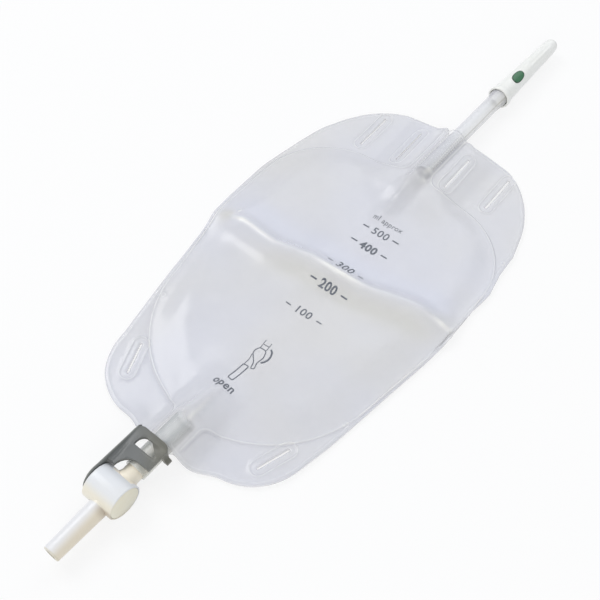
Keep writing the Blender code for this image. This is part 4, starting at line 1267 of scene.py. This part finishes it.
class DRAINBAG_OT_cap(BagOperator, bpy.types.Operator):
    """Build the fluted cap and its green oval"""

    bl_idname = "drainbag.cap"
    bl_label = "Cap"

    def radius(self, place):
        """Outer radius of the cap at a distance from its mouth."""
        if place <= CAP_SHOULDER:
            return CAP_MOUTH_RADIUS + (CAP_SHOULDER_RADIUS - CAP_MOUTH_RADIUS) * place / CAP_SHOULDER
        nose = (place - CAP_SHOULDER) / (CAP_LENGTH - CAP_SHOULDER)
        return CAP_TIP_RADIUS + (CAP_SHOULDER_RADIUS - CAP_TIP_RADIUS) * math.sqrt(max(1 - nose * nose, 0))

    def build(self, size, colour):
        edge = size.rounding
        bead, bead_end = CAP_BEAD_RADIUS, CAP_BEAD_LENGTH
        outer = turn_round((0.0, bead - edge), (edge, bead))
        outer += turn_round((bead_end - edge, bead), (bead_end, bead - edge), outward=False)
        outer += [(bead_end, self.radius(bead_end) + 0.0002), (0.0033, self.radius(0.0033))]
        outer += [(place / 1000, self.radius(place / 1000)) for place in np.arange(4.5, 57.6, 0.75)]
        outer += turn_round((CAP_LENGTH - 0.0014, 0.0033), (CAP_LENGTH, 0.0013), outward=False)
        outer.append((CAP_LENGTH, 0.0))
        inner = [(CAP_CAVITY_TIP, 0.0), (CAP_CAVITY_TIP, 0.0030), (0.0110, 0.0046), (0.0106, 0.0053),
                 (0.0004, 0.0053), (0.0, 0.0055)]
        bm = lathe(outer + inner, 144)
        flute_end = CAP_SHOULDER + (CAP_LENGTH - CAP_SHOULDER) * 0.55
        for vert in bm.verts:
            reach = math.hypot(vert.co.x, vert.co.z)
            if reach > self.radius(vert.co.y) - 0.0004:
                ramp = float(ease((vert.co.y - FLUTE_START) / 0.002) * ease((flute_end - vert.co.y) / 0.003))
                angle = math.atan2(vert.co.z, vert.co.x)
                cut = FLUTE_DEPTH * ramp * (0.5 - 0.5 * math.cos(size.flutes * angle))
                vert.co.x *= 1 - cut / reach
                vert.co.z *= 1 - cut / reach
        bmesh.ops.translate(bm, verts=bm.verts, vec=(0, CAP_MOUTH_Y, 0))
        white = moulded("cap_white", tuple(colour.cap), 0.42, mottle=0.04, warm=(1.0, 1.0, 0.98))
        add_piece("fluted_cap", to_line(bm, INLET, INLET_LEAN), white, "cap", ["connector_cap"])
        green = Finish("marker_green_plastic", IOR=1.5, Coat_Weight=0.2)
        tone = tuple(colour.marker)
        cloud = green.noise(700, 3)
        # Painted shade on the oval's rolled edge and side, where the rim attribute is 1
        rim = green.attribute("rim")
        green.paint(Base_Color=green.mix(rim, green.mix(cloud, tone, tinted(tone, 1.5)), tinted(tone, 0.45)),
                    Roughness=0.36 + cloud * 0.12)
        green.height((green.noise(2400, 2), 0.00003, 0.6))
        marker = self.oval()
        bmesh.ops.translate(marker, verts=marker.verts, vec=(0, CAP_MOUTH_Y, 0))
        add_piece("cap_oval", to_line(marker, INLET, INLET_LEAN), green.material, "cap", ["cap_marker"])

    def oval(self):
        """An oval button curved to the cap's side, domed with a rolled edge."""
        bm = bmesh.new()
        ring_layer = bm.verts.layers.float.new("rim")
        segments = 64
        rings = []
        # Each ring as (share of the size, height, share of the painted shade at the edge)
        for share, high, rim in ((1.0, -0.0006, 1.0), (1.0, 0.00005, 1.0), (0.97, 0.00018, 1.0),
                                 (0.90, 0.00026, 0.8), (0.80, 0.00024, 0.2), (0.6, 0.00024, 0.0),
                                 (0.35, 0.00025, 0.0), (0.12, 0.00025, 0.0)):
            ring = []
            for segment in range(segments):
                angle = 2 * math.pi * segment / segments
                across, along = (math.copysign(abs(part) ** OVAL_SQUARENESS, part) * half * share
                                 for part, half in ((math.cos(angle), OVAL_HALF_WIDTH),
                                                    (math.sin(angle), OVAL_HALF_LENGTH)))
                along -= OVAL_SKEW * across
                reach = self.radius(OVAL_Y + along) + high
                turn = across / self.radius(OVAL_Y) + OVAL_TURN
                vert = bm.verts.new((reach * math.sin(turn), along + OVAL_Y, reach * math.cos(turn)))
                vert[ring_layer] = rim
                ring.append(vert)
            rings.append(ring)
        skin(bm, rings)
        bm.faces.new(rings[-1])
        bm.faces.new(rings[0])
        return bm


class DRAINBAG_OT_port(BagOperator, bpy.types.Operator):
    """Build the clear port tube between the films and the tap"""

    bl_idname = "drainbag.port"
    bl_label = "Port"

    def build(self, size, colour):
        outer = [(PORT_START_Y, PORT_RADIUS - 0.0002), (PORT_START_Y + 0.0002, PORT_RADIUS)]
        outer += [(place, PORT_RADIUS) for place in (0.0200, 0.0300, 0.0400, PORT_END_Y)]
        outer += [(PORT_END_Y, PORT_BORE), (PORT_END_Y - 0.0020, 0.0044), (PORT_END_Y - 0.0025, 0.0)]
        inner = [(0.0270, 0.0), (0.0265, 0.0044), (0.0255, PORT_BORE), (PORT_START_Y, PORT_BORE)]
        # Bands round the port tube by its turn: a painted highlight in white and painted shade in a dark
        # khaki line, over the tube's khaki and sage tints
        khaki, sage = (0.66, 0.65, 0.54), (0.62, 0.66, 0.64)
        painted_light_bands = [(0.02, khaki), (0.12, sage), (0.22, (0.72, 0.75, 0.74)), (0.28, (0.92, 0.93, 0.91)),
                   (0.33, sage), (0.42, (0.56, 0.56, 0.50)), (0.50, khaki), (0.70, sage)]
        glass = [clear_tube_finish("port_clear", 0.55, painted_light_bands, OUTLET_LEAN),
                 inner_finish("port_bore", 0.10)]
        add_piece("port_tube", to_line(clear_tube(outer, inner, 0.0047), OUTLET, OUTLET_LEAN), glass, "bag",
                  ["outlet_port"])


class DRAINBAG_OT_tap(BagOperator, bpy.types.Operator):
    """Build the tap's barrel with its neck and spout, and the spindle"""

    bl_idname = "drainbag.tap"
    bl_label = "Tap"

    def build(self, size, colour):
        edge, radius, neck = BARREL_EDGE, BARREL_RADIUS, NECK_RADIUS
        barrel = [(BARREL_LEFT, 0.0)]
        barrel += turn_round((BARREL_LEFT, radius - edge), (BARREL_LEFT + edge, radius))
        barrel += turn_round((BARREL_RIGHT - edge, radius), (BARREL_RIGHT, radius - edge), outward=False)
        barrel += [(BARREL_RIGHT, 0.0)]
        body = loose_object(lathe(barrel, 112, closed=False, axis="X"), "tap_moulding")
        stem = [(SPOUT_END_Y, 0.0), (SPOUT_END_Y, 0.0037), (-0.03285, 0.00393), (-0.0326, SPOUT_TIP_RADIUS)]
        stem += [(-0.0326 + 0.0232 * share, SPOUT_TIP_RADIUS + SPOUT_TAPER * share)
                 for share in (0.25, 0.5, 0.75, 1.0)]
        stem += [(0.0, 0.0046), (0.0070, 0.0050), (0.0088, 0.0046), (0.0095, neck), (0.0230, neck),
                 (0.0242, 0.0040), (NECK_END_Y, 0.0037), (NECK_END_Y, 0.0)]
        combined(body, loose_object(lathe(stem, 96, closed=False), "stem"), "UNION")
        step = BARREL_RIGHT - HEAD_DEPTH
        bore = [(BARREL_LEFT - 0.001, 0.0), (BARREL_LEFT - 0.001, SPINDLE_BORE), (step, SPINDLE_BORE),
                (step, HEAD_BORE), (BARREL_RIGHT + 0.001, HEAD_BORE), (BARREL_RIGHT + 0.001, 0.0)]
        combined(body, loose_object(lathe(bore, 96, closed=False, axis="X"), "bore"), "DIFFERENCE")
        flow = [(-0.035, 0.0), (-0.035, 0.0028), (-0.0326, FLOW_RADIUS), (0.0255, FLOW_RADIUS),
                (0.0255, 0.0)]
        combined(body, loose_object(lathe(flow, 48, closed=False), "flow"), "DIFFERENCE")
        add_piece("tap_moulding", to_line(bmesh_of(body), OUTLET, OUTLET_LEAN), self.ivory(colour), "bag",
                  ["tap_body"], sharp=32)
        plug = merged_copy("tap_spindle")
        to_line(plug, OUTLET, OUTLET_LEAN, back=True)
        for vert in plug.verts:
            reach = math.hypot(vert.co.y, vert.co.z)
            if vert.co.x > BARREL_RIGHT - 0.0014 and reach > 0.0064:
                vert.co.yz = vert.co.yz * (HEAD_BORE - 0.00015) / reach
        soften(to_line(plug, OUTLET, OUTLET_LEAN), 0.00015, 2, 45)
        head = moulded("spindle_ivory", shaded(tuple(colour.plastic), (0.77, 0.73, 0.56), 0.7), 0.32)
        add_piece("spindle_plug", plug, head, "lever", ["tap_spindle"])

    def ivory(self, colour):
        """White moulding with painted light and shade: cool painted light on its upper side, painted creamy
        shade below, pale painted light and tan painted shade across the spout, a painted shadow where the
        spout meets the barrel; creamy on the neck and khaki at the spout's tip.
        """
        tone = tuple(colour.plastic)
        warm_shade_and_mottle = shaded(tone, (0.80, 0.73, 0.57), 0.55)
        finish = Finish("tap_ivory", IOR=1.49, Coat_Weight=0.15, Coat_Roughness=0.2)
        cloud = finish.noise(110, 4, 0.55)
        upper, right, below, side, height = (
            finish.across(tuple(OUTLET), direction)
            for direction in ((0.0, 0.878, 0.478), (0.92, 0.0, -0.39), (0.03, -1.0, 0.0), (1.0, 0.0, 0.0),
                              (0.0, 0.0, 1.0)))
        upper = upper.over(-0.0038, 0.0012)
        right = right.over(-0.0028, 0.0018)
        spout = below.over(0.0076, 0.0084)
        neck = (below * -1).over(0.0050, 0.0062) * (1.0 - (side * side).over(0.000025, 0.000031))
        neck = neck * (1.0 - height.over(0.0050, 0.0054))
        # Painted light on the barrel: cool painted light on its upper side, painted creamy shade below
        barrel = finish.mix(upper, warm_shade_and_mottle, shaded(tone, (0.74, 0.76, 0.81), 0.8))
        # Painted light across the spout: pale painted light on its left, painted tan shade on its right
        tan = shaded(tone, (0.74, 0.65, 0.50), 0.8)
        stem = finish.mix(right, shaded(tone, (0.76, 0.76, 0.80), 0.8), tan)
        # Painted shadow on the spout's right side where it meets the barrel
        corner = (1.0 - below.over(0.0078, 0.0125)) * right
        stem = finish.mix(corner * 0.7, stem, (0.40, 0.34, 0.28))
        stem = finish.mix(below.over(0.0322, 0.0328) * 0.7, stem, (0.62, 0.58, 0.46))
        painted = finish.mix(spout, finish.mix(neck, barrel, (0.95, 0.87, 0.72)), stem)
        finish.paint(Base_Color=finish.mix(cloud.over(0.3, 0.7) * 0.12, painted, warm_shade_and_mottle),
                     Roughness=0.26 + cloud * 0.1)
        finish.mould_grain(cloud, 0.00003, 0.15)
        return finish.material


class DRAINBAG_OT_lever(BagOperator, bpy.types.Operator):
    """Build the grey lever with its rolled rim"""

    bl_idname = "drainbag.lever"
    bl_label = "Lever"

    def build(self, size, colour):
        bm = to_line(merged_copy("tap_lever"), OUTLET, OUTLET_LEAN, back=True)
        cuts = [(place, 0) for place in np.arange(-0.0104, -0.0058, 0.0004)]
        cuts += [(place, 1) for place in np.arange(0.0085, 0.0270, 0.0012)]
        for place, axis in cuts:
            across = Vector((1 - axis, axis, 0))
            bmesh.ops.bisect_plane(bm, geom=bm.verts[:] + bm.edges[:] + bm.faces[:], plane_co=across * place,
                                   plane_no=across)
        soften(bm, 0.00018, 2, 42)
        for vert in bm.verts:
            x, y, z = vert.co
            share = min(max((y - 0.0125) / 0.0125, 0.0), 1.0)
            valley = -0.0082 - 0.0016 * share
            sink = 0.00075 * (1 - share) * bell((x - valley) / 0.0009)
            roll = 0.00028 * bell((x + 0.0104) / 0.0006)
            hollow = 0.00022 * bell((x + 0.0035) / 0.0035) * bell((y - 0.0165) / 0.0035)
            near_top = min(max((z - LEVER_TOP + 0.0006) / 0.0005, 0.0), 1.0)
            vert.co.z += float(roll - sink - hollow) * near_top
        grey = self.grey(tuple(colour.lever))
        add_piece("lever_moulding", to_line(bm, OUTLET, OUTLET_LEAN), grey, "lever", ["tap_lever"],
                  sharp=50)

    def grey(self, tone):
        """Grey moulding, bluish where it hollows and olive towards its free corner, with a painted highlight
        along its left rolled edge.
        """
        finish = Finish("lever_grey_plastic", IOR=1.49, Coat_Weight=0.15, Coat_Roughness=0.25)
        cloud = finish.noise(150, 4, 0.55)
        corner = finish.across(tuple(OUTLET + Vector((0.0, 0.019, 0.0))), (0.75, 0.66, 0.0))
        blue = shaded(tone, (0.134, 0.141, 0.144), 0.9)
        olive = shaded(tone, (0.150, 0.145, 0.115), 0.9)
        # Painted highlight along the lever's left rolled edge
        edge = finish.across(tuple(OUTLET), (1.0, -0.03, 0.0)).over(-0.0094, -0.0103)
        painted = finish.mix(corner.over(-0.004, 0.009), blue, olive)
        painted = finish.mix(edge * 0.6, painted, tinted(tone, 1.9))
        finish.paint(Base_Color=finish.mix(cloud.over(0.3, 0.7) * 0.3, painted, tinted(tone, 0.86)),
                     Roughness=0.36 + cloud * 0.14)
        finish.mould_grain(cloud, 0.00005, 0.2)
        return finish.material


class DRAINBAG_OT_stage(BagOperator, bpy.types.Operator):
    """Make the floor, the studio light and the camera"""

    bl_idname = "drainbag.stage"
    bl_label = "Stage"

    def build(self, size, colour):
        bm = bmesh.new()
        bmesh.ops.create_grid(bm, x_segments=12, y_segments=12, size=FLOOR_HALF)
        bmesh.ops.translate(bm, verts=bm.verts, vec=(0, 0, FLOOR_Z))
        floor = linked("floor", mesh_from(bm, "floor"))
        floor.data.materials.append(self.floor_finish())
        self.world()
        for lamp in LAMPS:
            self.lamp(*lamp)
        camera = bpy.data.cameras.new("camera")
        camera.lens = CAMERA_LENS
        camera.sensor_width = 36.0
        camera.clip_start = 0.01
        holder = linked("camera", camera)
        holder.location = CAMERA_PLACE
        holder.rotation_euler = (CAMERA_TARGET - CAMERA_PLACE).to_track_quat("-Z", "Y").to_euler()
        bpy.context.scene.camera = holder
        bpy.context.scene.view_settings.view_transform = "Standard"

    def floor_finish(self):
        """Pale floor that shows nearly white and keeps a faint shadow."""
        finish = Finish("floor_white", Roughness=0.9, Specular_IOR_Level=0.1)
        finish.paint(Base_Color=(0.86, 0.86, 0.87))
        glow = finish.node("ShaderNodeEmission", None, {"Color": (1.0, 1.0, 1.0), "Strength": 1.0})
        shader = Value(finish, finish.shader.outputs[0])
        reach = finish.node("ShaderNodeVectorMath", {"operation": "LENGTH"}, {0: finish.place()},
                            output="Value")
        share = finish.seen_directly() * (0.8 + reach.over(0.5, 3.0) * 0.2)
        mixed = finish.node("ShaderNodeMixShader", None, {0: share, 1: shader, 2: glow})
        finish.feed(finish.tree.nodes["Material Output"].inputs["Surface"], mixed)
        return finish.material

    def world(self):
        """Even pale surroundings, white to the camera."""
        world = bpy.data.worlds.new("studio")
        bpy.context.scene.world = world
        world.use_nodes = True
        nodes = Nodes(world.node_tree)
        soft = nodes.node("ShaderNodeBackground", None, {"Color": (0.91, 0.95, 1.0), "Strength": 0.62})
        white = nodes.node("ShaderNodeBackground", None, {"Color": (1.0, 1.0, 1.0)})
        camera_ray = nodes.node("ShaderNodeLightPath", output="Is Camera Ray")
        mixed = nodes.node("ShaderNodeMixShader", None, {0: camera_ray, 1: soft, 2: white})
        nodes.feed(world.node_tree.nodes["World Output"].inputs["Surface"], mixed)

    def lamp(self, name, place, width, power, colour):
        """A square soft box aimed at the bag."""
        light = bpy.data.lights.new(name, "AREA")
        light.size = width
        light.energy = power
        light.color = colour
        holder = linked(name, light)
        holder.location = place
        holder.rotation_euler = (-Vector(place)).to_track_quat("-Z", "Y").to_euler()


class DRAINBAG_PT_panel(bpy.types.Panel):
    """Lists the bag's pieces, sizes and colours"""

    bl_idname = "DRAINBAG_PT_panel"
    bl_label = "Drainage Bag"
    bl_space_type = "VIEW_3D"
    bl_region_type = "UI"
    bl_category = "Drainage Bag"

    def draw(self, context):
        settings = context.scene.drain_bag
        for group in (settings.sizes, settings.colours):
            box = self.layout.box()
            for name in group.bl_rna.properties.keys():
                if name not in ("rna_type", "name"):
                    box.prop(group, name)
        for operator in OPERATORS:
            self.layout.operator(operator.bl_idname)


OPERATORS = (DRAINBAG_OT_stage, DRAINBAG_OT_films, DRAINBAG_OT_valve, DRAINBAG_OT_print, DRAINBAG_OT_inlet,
             DRAINBAG_OT_cap, DRAINBAG_OT_port, DRAINBAG_OT_tap, DRAINBAG_OT_lever)
CLASSES = (BagSizes, BagColours, BagSettings, *OPERATORS, DRAINBAG_PT_panel)


def register():
    for each in CLASSES:
        bpy.utils.register_class(each)
    bpy.types.Scene.drain_bag = PointerProperty(type=BagSettings)


def unregister():
    del bpy.types.Scene.drain_bag
    for each in reversed(CLASSES):
        bpy.utils.unregister_class(each)


def main():
    """Register the add-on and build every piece."""
    register()
    bpy.ops.drainbag.stage()
    bpy.ops.drainbag.films()
    bpy.ops.drainbag.valve()
    bpy.ops.drainbag.print()
    bpy.ops.drainbag.inlet()
    bpy.ops.drainbag.cap()
    bpy.ops.drainbag.port()
    bpy.ops.drainbag.tap()
    bpy.ops.drainbag.lever()


if __name__ == "__main__":
    main()
